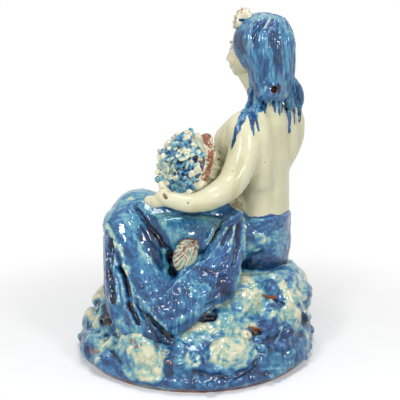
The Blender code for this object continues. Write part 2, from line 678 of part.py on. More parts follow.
def vent_cutter():
    """The round firing hole through the hair at the nape."""
    mouth = HEAD + Vector((8.5, -22, -35)) * PART
    bore = bmesh.new()
    place = Matrix.Translation(mouth) @ Matrix.Rotation(pi / 2, 4, "X")
    bmesh.ops.create_cone(
        bore,
        cap_ends=True,
        segments=12,
        radius1=0.6 * VENT_RADIUS,
        radius2=VENT_RADIUS,
        depth=2 * VENT_DEPTH,
        matrix=place,
    )
    return cutter("vent", mesh_from(bore, "vent"))


def glaze():
    """Blue and cream glossy glaze, as one plain colour."""
    material = bpy.data.materials.new("glazed_ceramic")
    material.use_nodes = True
    shader = material.node_tree.nodes["Principled BSDF"]
    shader.inputs["Base Color"].default_value = (0.12, 0.25, 0.52, 1)
    shader.inputs["Roughness"].default_value = 0.15
    shader.inputs["Metallic"].default_value = 0.0
    return material


def fused(mesh):
    """The clay forms as one skin, with their joins rounded, in about FACETS triangles."""
    figure = bpy.data.objects.new("mermaid_figurine", mesh)
    bpy.context.scene.collection.objects.link(figure)
    remesh = figure.modifiers.new("fuse", "REMESH")
    remesh.mode = "VOXEL"
    remesh.voxel_size = CLAY_GRAIN
    remesh.adaptivity = 0
    smooth = figure.modifiers.new("round the joins", "SMOOTH")
    smooth.iterations = GLAZE_PASSES
    bpy.context.view_layer.update()
    evaluated = figure.evaluated_get(bpy.context.evaluated_depsgraph_get())
    skin = bpy.data.meshes.new_from_object(evaluated)
    tooled(skin)
    figure.modifiers.clear()
    figure.data = skin
    decimate = figure.modifiers.new("facets", "DECIMATE")
    decimate.ratio = min(1.0, FACETS / (2 * len(skin.polygons)))
    return figure


def main():
    for obj in list(bpy.data.objects):
        bpy.data.objects.remove(obj)
    clay = bmesh.new()
    for add in (
        add_rock,
        add_boulders,
        add_hips,
        add_torso,
        add_arms,
        add_head,
        add_locks,
        add_thighs,
        add_shin,
        add_fin,
        add_tail_shell,
        add_basket,
    ):
        add(clay)
    figure = fused(mesh_from(clay, "mermaid_figurine"))
    for helper in (table_cutter(), hollow_cutter(), vent_cutter()):
        cut = figure.modifiers.new(helper.name, "BOOLEAN")
        cut.operation = "DIFFERENCE"
        cut.object = helper
    figure.data.materials.append(glaze())
    figure.data.shade_smooth()


main()
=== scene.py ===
"""Looks of the glazed ceramic mermaid: her clay is modelled again in finer detail, and painted.

+Z is up, -Y is the side with the tail fin and -X is the way her knees point.
Places in the clay are in millimetres. A place written as (u, v) is where the photo, taken as
400 x 400, shows it: it is sent from the camera onto the clay that carries it.
"""

from math import cos, pi, radians, sin, sqrt

import bpy
import numpy as np
from mathutils import Euler, Matrix, Vector, noise
from mathutils.bvhtree import BVHTree


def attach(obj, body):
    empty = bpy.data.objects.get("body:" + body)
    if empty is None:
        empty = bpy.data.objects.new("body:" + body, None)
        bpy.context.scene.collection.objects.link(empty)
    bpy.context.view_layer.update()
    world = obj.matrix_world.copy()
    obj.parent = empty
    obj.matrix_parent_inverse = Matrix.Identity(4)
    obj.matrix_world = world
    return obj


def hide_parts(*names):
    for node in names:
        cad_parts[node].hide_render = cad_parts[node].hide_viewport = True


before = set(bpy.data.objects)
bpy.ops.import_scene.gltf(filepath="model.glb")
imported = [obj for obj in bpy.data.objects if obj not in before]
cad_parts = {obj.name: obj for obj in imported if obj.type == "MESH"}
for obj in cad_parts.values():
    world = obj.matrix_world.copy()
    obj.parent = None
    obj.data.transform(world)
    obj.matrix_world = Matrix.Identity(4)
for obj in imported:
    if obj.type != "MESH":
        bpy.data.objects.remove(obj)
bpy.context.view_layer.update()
noise.seed_set(7)  # without it, the brush marks would differ from run to run

# Stage. The figurine stands on a white table in a white studio, in the soft light of three
# large lamps; the camera looks at it from behind her left side, a little from above.
MM = 0.001
UP = Vector((0, 0, 1))
TURN = 2 * pi
PHOTO_SIZE = 400
FOCAL_PIXELS = 691
EYE = Vector((3.3, -560, 230))
PITCH = radians(10.6)
LAMPS = [  # place, size and watts
    ((-0.40, -0.74, 0.60), 0.18, 2.9),
    ((0.50, -0.70, 0.50), 0.16, 2.1),
    ((0.05, -0.22, 0.98), 0.28, 3.0),
]
ROOM_LIGHT = 0.38
AIM_HEIGHT = 0.13  # what the lamps are turned to
TABLE_WHITE = (0.86, 0.86, 0.86, 1)
TABLE_GLOW = 0.18
TABLE_LIT = (0.12, 0.36)  # how far from the middle the lamps still show on it, in metres
WHITE = (1, 1, 1, 1)
SENSOR_WIDTH = 36


def wired(tree, kind, settings=None, **inputs):
    """A shader node with its settings, and its inputs set or linked; _0 means the first input."""
    made = tree.nodes.new(kind)
    for key, value in (settings or {}).items():
        setattr(made, key, value)
    for key, value in inputs.items():
        socket = made.inputs[int(key[1:]) if key[0] == "_" else key.replace("_", " ")]
        if isinstance(value, bpy.types.NodeSocket):
            tree.links.new(value, socket)
        else:
            socket.default_value = value
    return made


def maths(tree, operation, first, second, third=0.0, clamp=False):
    """What a maths node makes of numbers or of the outputs of other nodes."""
    settings = {"operation": operation, "use_clamp": clamp}
    return wired(tree, "ShaderNodeMath", settings, _0=first, _1=second, _2=third).outputs[0]


def eased(tree, value, low, high, to_low=0.0, to_high=1.0, kind="LINEAR"):
    """A value that passes between two levels while the given one goes from low to high."""
    settings = {"interpolation_type": kind}
    span = {"From_Min": low, "From_Max": high, "To_Min": to_low, "To_Max": to_high}
    return wired(tree, "ShaderNodeMapRange", settings, Value=value, **span).outputs[0]


def deselect():
    bpy.ops.object.select_all(action="DESELECT")


camera = bpy.data.objects.new("camera", bpy.data.cameras.new("camera"))
camera.location = EYE * MM
camera.rotation_euler = Euler((pi / 2 - PITCH, 0, 0))
camera.data.sensor_width = SENSOR_WIDTH
camera.data.lens = SENSOR_WIDTH * FOCAL_PIXELS / PHOTO_SIZE
bpy.context.scene.collection.objects.link(camera)
bpy.context.scene.camera = camera

for place, size, watts in LAMPS:
    lamp = bpy.data.objects.new("lamp", bpy.data.lights.new("lamp", "AREA"))
    lamp.data.size = size
    lamp.data.energy = watts
    lamp.location = place
    aim = Vector((0, 0, AIM_HEIGHT)) - Vector(place)
    lamp.rotation_euler = aim.to_track_quat("-Z", "Y").to_euler()
    bpy.context.scene.collection.objects.link(lamp)

room = bpy.data.worlds.new("white studio")
room.use_nodes = True
tree = room.node_tree
tree.nodes.clear()
ray = wired(tree, "ShaderNodeLightPath").outputs
seen = maths(tree, "MAXIMUM", ray["Is Camera Ray"], ray["Is Transmission Ray"])
shown = maths(tree, "MAXIMUM", seen, ray["Is Glossy Ray"])
level = eased(tree, shown, 0.0, 1.0, ROOM_LIGHT)
white = wired(tree, "ShaderNodeBackground", None, Color=WHITE, Strength=level)
wired(tree, "ShaderNodeOutputWorld", None, Surface=white.outputs[0])
bpy.context.scene.world = room
bpy.context.scene.view_settings.view_transform = "Standard"

deselect()
bpy.ops.mesh.primitive_plane_add(size=8)
table = bpy.context.object
table.name = "table"
cloth = bpy.data.materials.new("white table")
cloth.use_nodes = True
tree = cloth.node_tree
tree.nodes.clear()
matt = wired(tree, "ShaderNodeBsdfDiffuse", None, Color=TABLE_WHITE)
ray = wired(tree, "ShaderNodeLightPath").outputs
glow_level = maths(tree, "MULTIPLY", ray["Is Camera Ray"], TABLE_GLOW)
glow = wired(tree, "ShaderNodeEmission", None, Strength=glow_level)
both = wired(tree, "ShaderNodeAddShader", None, _0=matt.outputs[0], _1=glow.outputs[0])
where = wired(tree, "ShaderNodeTexCoord").outputs["Object"]
away = wired(tree, "ShaderNodeVectorMath", {"operation": "LENGTH"}, _0=where).outputs["Value"]
far_off = eased(tree, away, *TABLE_LIT, kind="SMOOTHSTEP")
seen = maths(tree, "MAXIMUM", ray["Is Camera Ray"], ray["Is Glossy Ray"])
share = maths(tree, "MULTIPLY", far_off, seen)
studio = wired(tree, "ShaderNodeEmission", None, Color=WHITE, Strength=1.0)
shaders = {"_1": both.outputs[0], "_2": studio.outputs[0]}
ground = wired(tree, "ShaderNodeMixShader", None, _0=share, **shaders)
wired(tree, "ShaderNodeOutputMaterial", None, Surface=ground.outputs[0])
table.data.materials.append(cloth)

# Rock. A low drum of clay with stones and crumbs pressed on it, hollowed out from below and
# left unglazed where it stands; it is splashed with cream, sea green and blue.
FOOT_RADIUS = 92
ROCK_WALL = 11
ROCK_OUTLINE = [  # height, middle x and y, and half widths along x and y
    (-6, 0, 0, FOOT_RADIUS, FOOT_RADIUS),
    (0, 0, 0, FOOT_RADIUS, FOOT_RADIUS),
    (8, 0, 0, 98, 98),
    (16.6, 0, 0, 93, 92),
    (26.2, 2, 1, 90, 84),
    (44.9, 7, 3, 85, 64),
    (60.7, 13, 6, 78, 51),
    (69, 17, 8, 66, 42),
]
STONES = [  # direction in degrees, height, and half axes along the rock, outward and up
    (-120, 21, 19, 10, 17),
    (-98, 15, 14, 5, 12),
    (-74, 22, 21, 11, 17),
    (-52, 38, 13, 9, 19),
    (-36, 42, 14, 12, 21),
    (-30, 15, 22, 6, 9),
    (-12, 22, 17, 6, 13),
    (-9, 47, 15, 8, 13),
    (-152, 16, 22, 8, 11),
    (-175, 20, 16, 7, 14),
    (165, 31, 14, 10, 15),
    (150, 36, 16, 13, 18),
    (143, 14, 20, 7, 10),
    (124, 26, 22, 12, 18),
    (104, 40, 24, 15, 20),
    (96, 14, 20, 4, 10),
    (76, 26, 22, 12, 16),
    (56, 42, 24, 14, 18),
    (46, 16, 20, 7, 12),
    (27, 30, 18, 10, 18),
    (14, 50, 14, 9, 12),
]
CRUMBS = [  # where the photo shows a small lump, and its half axes
    (108, 331, 5, 4, 4),
    (115, 339, 4, 4, 4),
    (122, 331, 5, 4, 4),
    (129, 339, 4, 4, 4),
    (100, 338, 6, 4, 5),
    (90, 343, 6, 4, 5),
    (136, 345, 4, 3, 3),
    (147, 342, 5, 4, 3),
    (158, 346, 4, 3, 3),
    (166, 353, 4, 4, 4),
    (94, 296, 6, 5, 6),
    (99, 288, 5, 5, 6),
    (92, 316, 6, 5, 7),
    (98, 324, 5, 5, 4),
    (255, 322, 2.4, 3, 4.5),
    (248, 336, 2.8, 3, 2.6),
    (262, 337, 3.0, 3, 2.6),
    (262, 348, 3.2, 3, 3.4),
    (287, 334, 7, 4, 7),
    (272, 331, 8, 4, 8),
    (303, 316, 4, 5, 6),
    (270, 291, 7, 6, 10),
    (279, 288, 5, 6, 9),
    (290, 292, 6, 6, 9),
    (188, 360, 1.8, 2.6, 6.5),
    (194, 358, 1.6, 2.6, 6.0),
    (200, 360, 1.7, 2.6, 6.0),
    (181, 364, 3, 3, 3),
    (172, 361, 2.6, 3, 2.6),
]
CRUMB_SPRINKLE = 110  # more crumbs, scattered all the way round
MOUND = ((-35, 12, 46.9), (31, 31, 33.1))  # under her knees: middle and half axes
THORNS = [  # root and tip of a pinched point, as the photo shows them, and its thickness
    ((296, 296), (303, 299), 5.0),
    ((262, 291), (267, 289), 2.6),
    ((264, 308), (269, 308), 2.4),
    ((92, 340), (85, 338), 4.0),
]


def mm(x, y, z):
    return Vector((x, y, z))


def through(rows, count):
    """A smooth curve through rows of numbers, as count rows spaced evenly in their index."""
    rows = np.array(rows, float)
    last = len(rows) - 1
    padded = np.vstack([2 * rows[0] - rows[1], rows, 2 * rows[-1] - rows[-2]])
    made = []
    for t in np.linspace(0, last, count):
        i = min(int(t), last - 1)
        p0, p1, p2, p3 = padded[i : i + 4]
        s = t - i
        bend = 2 * p0 - 5 * p1 + 4 * p2 - p3
        twist = 3 * p1 - p0 - 3 * p2 + p3
        made.append(0.5 * (2 * p1 + (p2 - p0) * s + bend * s**2 + twist * s**3))
    return np.array(made)


def skin_over(rings):
    """A closed lump of clay from rings of places, each end closed to a point."""
    around = len(rings[0])
    places = [place for ring in rings for place in ring]
    faces = []
    for n in range(len(rings) - 1):
        for k in range(around):
            j = (k + 1) % around
            low, high = n * around, (n + 1) * around
            faces.append((low + k, low + j, high + j, high + k))
    for n, turned in ((0, True), (len(rings) - 1, False)):
        middle = len(places)
        places.append(sum((Vector(place) for place in rings[n]), Vector()) / around)
        for k in range(around):
            j = (k + 1) % around
            ends = (n * around + j, n * around + k) if turned else (n * around + k, n * around + j)
            faces.append((*ends, middle))
    mesh = bpy.data.meshes.new("lump")
    mesh.from_pydata([Vector(place) * MM for place in places], [], faces)
    lump = bpy.data.objects.new("lump", mesh)
    bpy.context.scene.collection.objects.link(lump)
    return lump


def loft(sections, around=48, along=36, fold=None):
    """A body through oval sections, each given as its centre and its two half axes."""
    rows = through([[*c, *a, *b] for c, a, b in sections], along)
    rings = []
    for n, row in enumerate(rows):
        centre, side, front = (Vector(row[i : i + 3]) for i in (0, 3, 6))
        ring = []
        for k in range(around):
            turn = TURN * k / around
            arm = side * cos(turn) + front * sin(turn)
            out = fold(turn, n / (along - 1)) if fold else 0
            ring.append(centre + arm * (1 + out / max(arm.length, 1)))
        rings.append(ring)
    return skin_over(rings)


def roll(places, radii, around=14, flat=1.0):
    """A roll of clay along a smooth path, with its ends rounded over."""
    rows = list(through([[*p, r] for p, r in zip(places, radii)], 5 * len(places)))
    for end, beside, front in ((rows[0], rows[1], True), (rows[-1], rows[-2], False)):
        out = Vector(end[:3] - beside[:3]).normalized()
        for angle in (30, 60, 80):
            place = Vector(end[:3]) + out * end[3] * sin(radians(angle))
            cap = np.array([*place, end[3] * cos(radians(angle))])
            rows.insert(0 if front else len(rows), cap)
    rings = []
    side = None
    for n, row in enumerate(rows):
        centre = Vector(row[:3])
        ahead = Vector(rows[min(n + 1, len(rows) - 1)][:3] - rows[max(n - 1, 0)][:3]).normalized()
        side = ahead.orthogonal() if side is None else side - ahead * side.dot(ahead)
        side.normalize()
        top = side.cross(ahead)
        turns = [TURN * k / around for k in range(around)]
        rings.append([centre + (side * cos(a) + top * sin(a) * flat) * row[3] for a in turns])
    return skin_over(rings)


def ball(centre, half_axes, axes=None, segments=24):
    """A ball of clay pressed oval, with its half axes along axes, or along X, Y and Z."""
    deselect()
    bpy.ops.mesh.primitive_uv_sphere_add(segments=segments, ring_count=segments // 2, radius=1)
    lump = bpy.context.object
    turned = Matrix(axes).transposed().to_4x4() if axes else Matrix.Identity(4)
    size = Matrix.Diagonal((*[half * MM for half in half_axes], 1))
    lump.data.transform(Matrix.Translation(Vector(centre) * MM) @ turned @ size)
    return lump


def applied(obj, kind, **settings):
    """A modifier of this kind, set and applied."""
    modifier = obj.modifiers.new(kind, kind)
    for key, value in settings.items():
        setattr(modifier, key, value)
    deselect()
    obj.select_set(True)
    bpy.context.view_layer.objects.active = obj
    bpy.ops.object.modifier_apply(modifier=modifier.name)


def cut(piece, tool):
    """The shape of a tool taken out of a piece."""
    applied(piece, "BOOLEAN", object=tool, operation="DIFFERENCE", solver="EXACT")
    bpy.data.objects.remove(tool)


def pressed_together(name, lumps, grain, passes=2):
    """Lumps pressed into one skin on a grid of this grain, and smoothed as with a wet finger."""
    deselect()
    for lump in lumps:
        lump.select_set(True)
    bpy.context.view_layer.objects.active = lumps[0]
    bpy.ops.object.join()
    piece = lumps[0]
    piece.name = name
    piece.data.name = name
    applied(piece, "REMESH", mode="VOXEL", voxel_size=grain * MM, adaptivity=0)
    applied(piece, "SMOOTH", iterations=passes)
    return piece


def clay_of(piece):
    """Where the vertices of a piece are, in millimetres, and the way each one faces."""
    places = np.empty(len(piece.data.vertices) * 3)
    facing = np.empty(len(places))
    piece.data.vertices.foreach_get("co", places)
    piece.data.vertex_normals.foreach_get("vector", facing)
    return places.reshape(-1, 3) / MM, facing.reshape(-1, 3)


def reshape(piece, places):
    piece.data.vertices.foreach_set("co", (places * MM).ravel())
    piece.data.update()


def swell(places, size, seed=0.0):
    """Soft noise over the clay, from -1 to 1, with humps about this many millimetres wide."""
    return np.array([noise.noise(Vector(place)) for place in places / size + seed])


def carrier(piece):
    """The search tree by which places are sent onto a piece."""
    return BVHTree.FromObject(piece, bpy.context.evaluated_depsgraph_get())


def sent(tree, u, v):
    """The place of a piece that the photo shows at (u, v), and the way it faces there."""
    half = PHOTO_SIZE / 2
    ray = Vector(((u - half) / FOCAL_PIXELS, (half - v) / FOCAL_PIXELS, -1))
    ray = (Matrix.Rotation(pi / 2 - PITCH, 3, "X") @ ray).normalized()
    hit, facing, _, _ = tree.ray_cast(EYE * MM, ray)
    if hit is None:
        near = [tree.find_nearest(EYE * MM + ray * (0.46 + 0.01 * n)) for n in range(24)]
        hit, facing, _, _ = min(near, key=lambda found: found[3])
    return hit / MM, facing


def traced(tree, pixels):
    """A line on a piece through the places that the photo shows at these pixels."""
    line = []
    for n, (u, v) in enumerate(pixels):
        if n:
            u0, v0 = pixels[n - 1]
            steps = max(1, int(sqrt((u - u0) ** 2 + (v - v0) ** 2) / 4))
            for k in range(1, steps):
                s = k / steps
                line.append(sent(tree, u0 + (u - u0) * s, v0 + (v - v0) * s)[0])
        line.append(sent(tree, u, v)[0])
    return line


def away_from(places, line, reach):
    """How far each place is from a line, as a share of reach; far places are left at 9.

    A reach of two numbers runs from the first at the line's start to the second at its end.
    """
    share = np.full(len(places), 9.0)
    line = [np.array(place) for place in line]
    first, last = reach if isinstance(reach, tuple) else (reach, reach)
    low = np.min(line, axis=0) - 3 * max(first, last)
    high = np.max(line, axis=0) + 3 * max(first, last)
    close = np.nonzero(np.all((places > low) & (places < high), axis=1))[0]
    near = places[close]
    best = np.linalg.norm(near - line[0], axis=1) / first
    for n in range(len(line) - 1):
        start = line[n]
        run = line[n + 1] - start
        along = np.clip((near - start) @ run / max(run @ run, 1e-9), 0, 1)
        size = first + (last - first) * (n + along) / (len(line) - 1)
        off = np.linalg.norm(near - start - along[:, None] * run, axis=1)
        best = np.minimum(best, off / size)
    share[close] = best
    return share


def wandering(places, amount, size):
    """Places pushed about by soft noise, so that what is drawn by them gets uneven edges."""
    push = np.array([noise.noise_vector(Vector(place)) for place in places / size])
    return places + push * amount


def uneven(places):
    return wandering(wandering(places, 3.2, 9.0), 1.5, 3.2)


def worked(piece, marks):
    """Ridges raised and grooves pressed: each mark is a height, a half width and its pixels."""
    places, facing = clay_of(piece)
    tree = carrier(piece)
    lift = np.zeros(len(places))
    by_hand = wandering(places, 1.6, 8.0)
    for height, width, pixels in marks:
        share = away_from(by_hand, traced(tree, pixels), width)
        lift += height * np.exp(-1.2 * share**2)
    reshape(piece, places + facing * lift[:, None])


def brushed(values, places, tree, strokes):
    """Strokes painted over values: each is its new value, a half width in mm and its pixels."""
    for value, width, pixels in strokes:
        share = away_from(places, traced(tree, pixels), width)
        cover = np.clip(1.6 - share, 0, 1)
        values += (value - values) * cover * cover * (3 - 2 * cover)
    return values


def hollows(piece, places, facing, passes):
    """How far each place stands over the clay round it, in millimetres."""
    edges = np.empty(len(piece.data.edges) * 2, int)
    piece.data.edges.foreach_get("vertices", edges)
    a, b = edges[::2], edges[1::2]
    count = np.maximum(np.bincount(np.r_[a, b], minlength=len(places)), 1)
    even = places.copy()
    for _ in range(passes):
        for axis in range(3):
            total = np.bincount(np.r_[a, b], np.r_[even[b, axis], even[a, axis]], len(places))
            even[:, axis] = total / count
    return np.sum((places - even) * facing, axis=1)


def ready_to_paint(piece, passes):
    """The places of a piece, the way they face, its search tree, and how far each stands out."""
    places, facing = clay_of(piece)
    return places, facing, carrier(piece), hollows(piece, places, facing, passes)


def noted(piece, **values):
    """Values kept on the vertices of a piece for its paint."""
    for name, value in values.items():
        flat = np.asarray(value, float)
        kind, field = ("FLOAT", "value") if flat.ndim == 1 else ("FLOAT_VECTOR", "vector")
        piece.data.attributes.new(name, kind, "POINT").data.foreach_set(field, flat.ravel())


def srgb(red, green, blue):
    """A colour as a colour chart gives it, from 0 to 255."""
    shares = [value / 255 for value in (red, green, blue)]
    return (*[s / 12.92 if s <= 0.04045 else ((s + 0.055) / 1.055) ** 2.4 for s in shares], 1)


def finished(piece, material, **paint):
    """A piece with its paint, which rides with the figurine and takes the glaze's finish."""
    noted(piece, **paint)
    piece.data.materials.clear()
    piece.data.materials.append(material)
    piece.data.shade_smooth()
    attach(piece, "root")
    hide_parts("mermaid_figurine")
    print(piece.name, sum(len(face.vertices) - 2 for face in piece.data.polygons), "triangles")


GLAZE_STOPS = [  # share of the glaze's tone, and its colour there
    (0.00, srgb(10, 15, 32)),
    (0.14, srgb(18, 44, 82)),
    (0.30, srgb(26, 68, 116)),
    (0.44, srgb(42, 96, 150)),
    (0.56, srgb(68, 130, 170)),
    (0.68, srgb(106, 160, 176)),
    (0.79, srgb(150, 186, 176)),
    (0.90, srgb(192, 200, 170)),
    (1.00, srgb(218, 214, 184)),
]
RUST_DARK = srgb(88, 46, 34)
RUST_LIGHT = srgb(172, 108, 70)
BARE_CLAY = srgb(178, 112, 78)
BUMP_DEPTH = 0.0006


def sockets(group, direction, rows):
    for name, kind, value in rows:
        socket = group.interface.new_socket(name=name, in_out=direction, socket_type=kind)
        if value is not None:
            socket.default_value = value


def painted_glaze():
    """Brushed glaze whose tone runs from navy over blue and sea green to cream, with rust."""
    group = bpy.data.node_groups.new("painted glaze", "ShaderNodeTree")
    real = "NodeSocketFloat"
    rows = [("Flow", "NodeSocketVector", None), ("Tone", real, 0.5), ("Rust", real, 0.0)]
    rows += [("Hue", real, 0.5), ("Blotch", real, 0.3), ("Streak", real, 0.2), ("Bare", real, 0.0)]
    rows += [("Comb", real, 0.3)]
    sockets(group, "INPUT", rows)
    sockets(group, "OUTPUT", [("Color", "NodeSocketColor", None), ("Height", real, None)])
    given = wired(group, "NodeGroupInput").outputs

    def cloud(vector, scale, detail=3.0, distortion=0.0):
        wanted = {"Vector": vector, "Scale": scale, "Detail": detail, "Distortion": distortion}
        made = wired(group, "ShaderNodeTexNoise", None, **wanted)
        return maths(group, "SUBTRACT", made.outputs["Fac"], 0.5)

    def mixed(share, under, over):
        made = wired(group, "ShaderNodeMix", {"data_type": "RGBA"}, _0=share, _6=under, _7=over)
        return made.outputs[2]

    where = wired(group, "ShaderNodeTexCoord").outputs["Object"]
    blotch = cloud(where, 120.0, 6.0, 1.4)
    streak = cloud(given["Flow"], 420.0, 4.0, 0.5)
    grain = cloud(where, 700.0, 3.0, 0.4)
    tone = maths(group, "MULTIPLY_ADD", blotch, given["Blotch"], given["Tone"])
    tone = maths(group, "MULTIPLY_ADD", streak, given["Streak"], tone)
    tone = maths(group, "MULTIPLY_ADD", grain, 0.13, tone, clamp=True)
    ramp = wired(group, "ShaderNodeValToRGB", None, Fac=tone)
    stops = ramp.color_ramp.elements
    for _ in GLAZE_STOPS[2:]:
        stops.new(0.5)
    for stop, (share, colour) in zip(stops, GLAZE_STOPS):
        stop.position = share
        stop.color = colour
    tinted = wired(
        group, "ShaderNodeHueSaturation", None, Color=ramp.outputs[0], Hue=given["Hue"]
    ).outputs[0]
    spots = maths(group, "MULTIPLY_ADD", cloud(where, 420.0, 3.0, 0.6), 1.1, given["Rust"])
    patchy = maths(group, "MULTIPLY_ADD", grain, 2.0, 0.5, clamp=True)
    brown = mixed(patchy, RUST_DARK, RUST_LIGHT)
    rusty = mixed(eased(group, spots, 0.42, 0.6), tinted, brown)
    edge = maths(group, "MULTIPLY_ADD", cloud(where, 260.0, 2.0), 0.8, given["Bare"])
    colour = mixed(eased(group, edge, 0.45, 0.55), rusty, BARE_CLAY)
    fine = cloud(where, 520.0, 2.0)
    height = maths(group, "MULTIPLY_ADD", fine, 0.25, cloud(where, 230.0, 2.0))
    height = maths(group, "MULTIPLY_ADD", streak, given["Comb"], height)
    wired(group, "NodeGroupOutput", None, Color=colour, Height=height)
    return group


GLAZE_GROUP = painted_glaze()


def value_of(tree, name):
    """A value that is noted on the piece."""
    return wired(tree, "ShaderNodeAttribute", {"attribute_name": name}).outputs["Fac"]


def paint_of(tree, **amounts):
    """The painted glaze; what isn't given as an amount is read from what the piece has noted."""
    paint = wired(tree, "ShaderNodeGroup", {"node_tree": GLAZE_GROUP}, **amounts)
    for key in ("Tone", "Rust", "Hue", "Bare"):
        if key not in amounts:
            tree.links.new(value_of(tree, key.lower()), paint.inputs[key])
    flow = wired(tree, "ShaderNodeAttribute", {"attribute_name": "flow"})
    tree.links.new(flow.outputs["Vector"], paint.inputs["Flow"])
    return paint


def polished(shader, roughness, specular, coat, coat_roughness):
    """The same shine all over a piece."""
    shader.inputs["Roughness"].default_value = roughness
    shader.inputs["Specular IOR Level"].default_value = specular
    shader.inputs["Coat Weight"].default_value = coat
    shader.inputs["Coat Roughness"].default_value = coat_roughness


def glaze(name, blotch, streak, ripple, comb=0.3, **fixed):
    """A glossy glaze that is painted by the values noted on a piece, with combed ripples."""
    material = bpy.data.materials.new(name)
    material.use_nodes = True
    tree = material.node_tree
    shader = tree.nodes["Principled BSDF"]
    paint = paint_of(tree, Blotch=blotch, Streak=streak, Comb=comb, **fixed)
    tree.links.new(paint.outputs["Color"], shader.inputs["Base Color"])
    relief = {"Height": paint.outputs["Height"], "Distance": BUMP_DEPTH, "Strength": ripple}
    bump = wired(tree, "ShaderNodeBump", None, **relief)
    tree.links.new(bump.outputs[0], shader.inputs["Normal"])
    polished(shader, roughness=0.4, specular=0.1, coat=1.0, coat_roughness=0.05)
    return material


def rock_side(degrees, height):
    """The place of the drum's flank in this direction, at this height, and the way outward."""
    levels = [row[0] for row in ROCK_OUTLINE]
    x, y, a, b = (np.interp(height, levels, [row[i] for row in ROCK_OUTLINE]) for i in range(1, 5))
    outward = Vector((cos(radians(degrees)), sin(radians(degrees)), 0))
    return mm(x + a * outward.x, y + b * outward.y, height), outward


def crags(turn, share):
    """Swells of the rock's flank, which die out at its foot and at the seat."""
    rise = sin(5 * turn + 1.1 + 4 * share) + 0.8 * sin(9 * turn - 7 * share)
    return 2.2 * rise * sin(pi * min(max(1.6 * share - 0.6, 0), 1))


drum = loft([((x, y, z), (a, 0, 0), (0, b, 0)) for z, x, y, a, b in ROCK_OUTLINE], 96, 40, crags)
drum_tree = carrier(drum)
lumps = [drum, ball(*MOUND)]
for degrees, height, along, out, tall in STONES:
    place, outward = rock_side(degrees, height)
    axes = (UP.cross(outward), outward, UP)
    lumps.append(ball(place - outward * out * 0.35, (along, out, tall), axes))
for u, v, along, out, tall in CRUMBS:
    place, facing = sent(drum_tree, u, v)
    outward = Vector((facing.x, facing.y, 0)).normalized()
    axes = (UP.cross(outward), outward, UP)
    lumps.append(ball(place + outward * out * 0.2, (along, out, tall), axes, 16))
for n in range(CRUMB_SPRINKLE):
    degrees = 360 * (0.6180340 * n % 1)
    height = 7 + 50 * (0.4142136 * n % 1) ** 1.3
    place, outward = rock_side(degrees, height)
    size = 1.8 + 2.6 * (0.7320508 * n % 1) ** 2
    axes = (UP.cross(outward), outward, UP)
    lumps.append(ball(place + outward * 0.8, (size * 1.3, size, size), axes, 12))
for root, tip, thick in THORNS:
    start, facing = sent(drum_tree, *root)
    end = sent(drum_tree, *tip)[0] + facing * thick * 1.6
    lumps.append(roll([start, (start + end) / 2, end], [thick, thick * 0.6, 0.5]))
rock = pressed_together("rock", lumps, 1.2, 3)

places, facing = clay_of(rock)
lift = 1.1 * swell(places, 17) + 0.9 * swell(places, 8, 5.0) + 0.5 * swell(places, 4, 9.0)
lift += 1.0 - 2.2 * np.abs(swell(uneven(places), 11, 6.0))
reshape(rock, places + facing * (lift * np.clip(places[:, 2] / 6, 0, 1))[:, None])
RING = [(249, 350), (252, 345), (257, 346), (259, 351), (255, 355), (250, 353)]
ROCK_MARKS = [  # height, half width and pixels of each ridge or groove
    (-4.0, 3.0, [(205, 319), (214, 317)]), (-3.0, 1.4, [(108, 337)]), (-2.6, 1.2, [(113, 334)]),
    (-2.6, 1.2, [(126, 334)]), (-3.0, 1.6, [(107, 318), (110, 323)]),
    (-3.6, 1.8, [(255, 333), (258, 332)]),
    (1.6, 1.3, [*RING, RING[0]]),
    (-1.6, 2.0, [(193, 371), (210, 375), (235, 377), (250, 369), (258, 360)]),
    (1.8, 2.6, [(196, 365), (212, 370), (232, 371), (247, 363), (254, 355)]),
    (1.0, 1.6, [(128, 350), (131, 366), (142, 378), (158, 380)]),
    (-1.4, 2.2, [(170, 358), (171, 372)]), (-1.5, 1.8, [(206, 342), (207, 356)]),
    (-1.2, 2.4, [(283, 278), (284, 296), (281, 308)]),
    (1.0, 1.3, [(276, 343), (283, 324), (295, 318)]),
    (1.0, 1.2, [(246, 283), (252, 286), (259, 284)]),
    (-1.2, 1.4, [(245, 286), (252, 289), (260, 287)]),
    (-1.2, 1.8, [(224, 326), (240, 321), (252, 312)]),
    (0.9, 1.4, [(205, 333), (220, 326), (236, 324)]), (-1.6, 3.0, [(88, 350), (98, 352)]),
    (0.9, 1.4, [(105, 362), (112, 355), (118, 362)]),
    (0.9, 1.6, [(176, 336), (188, 340), (200, 338)]),
]
worked(rock, ROCK_MARKS)
deselect()
bpy.ops.mesh.primitive_cube_add(size=0.3, location=(0, 0, -0.15))
below_table = bpy.context.object
sections = []
for z, x, y, a, b in ROCK_OUTLINE:  # the hollow: a wall inside the foot and the flank
    if z > 8:
        sections.append(((x, y, z - ROCK_WALL), (a - ROCK_WALL, 0, 0), (0, b - ROCK_WALL, 0)))
    elif z < 0:
        reach = FOOT_RADIUS - ROCK_WALL
        sections.append(((x, y, z), (reach, 0, 0), (0, reach, 0)))
hollow = loft(sections, 64, 24)
cut(rock, below_table)
cut(rock, hollow)

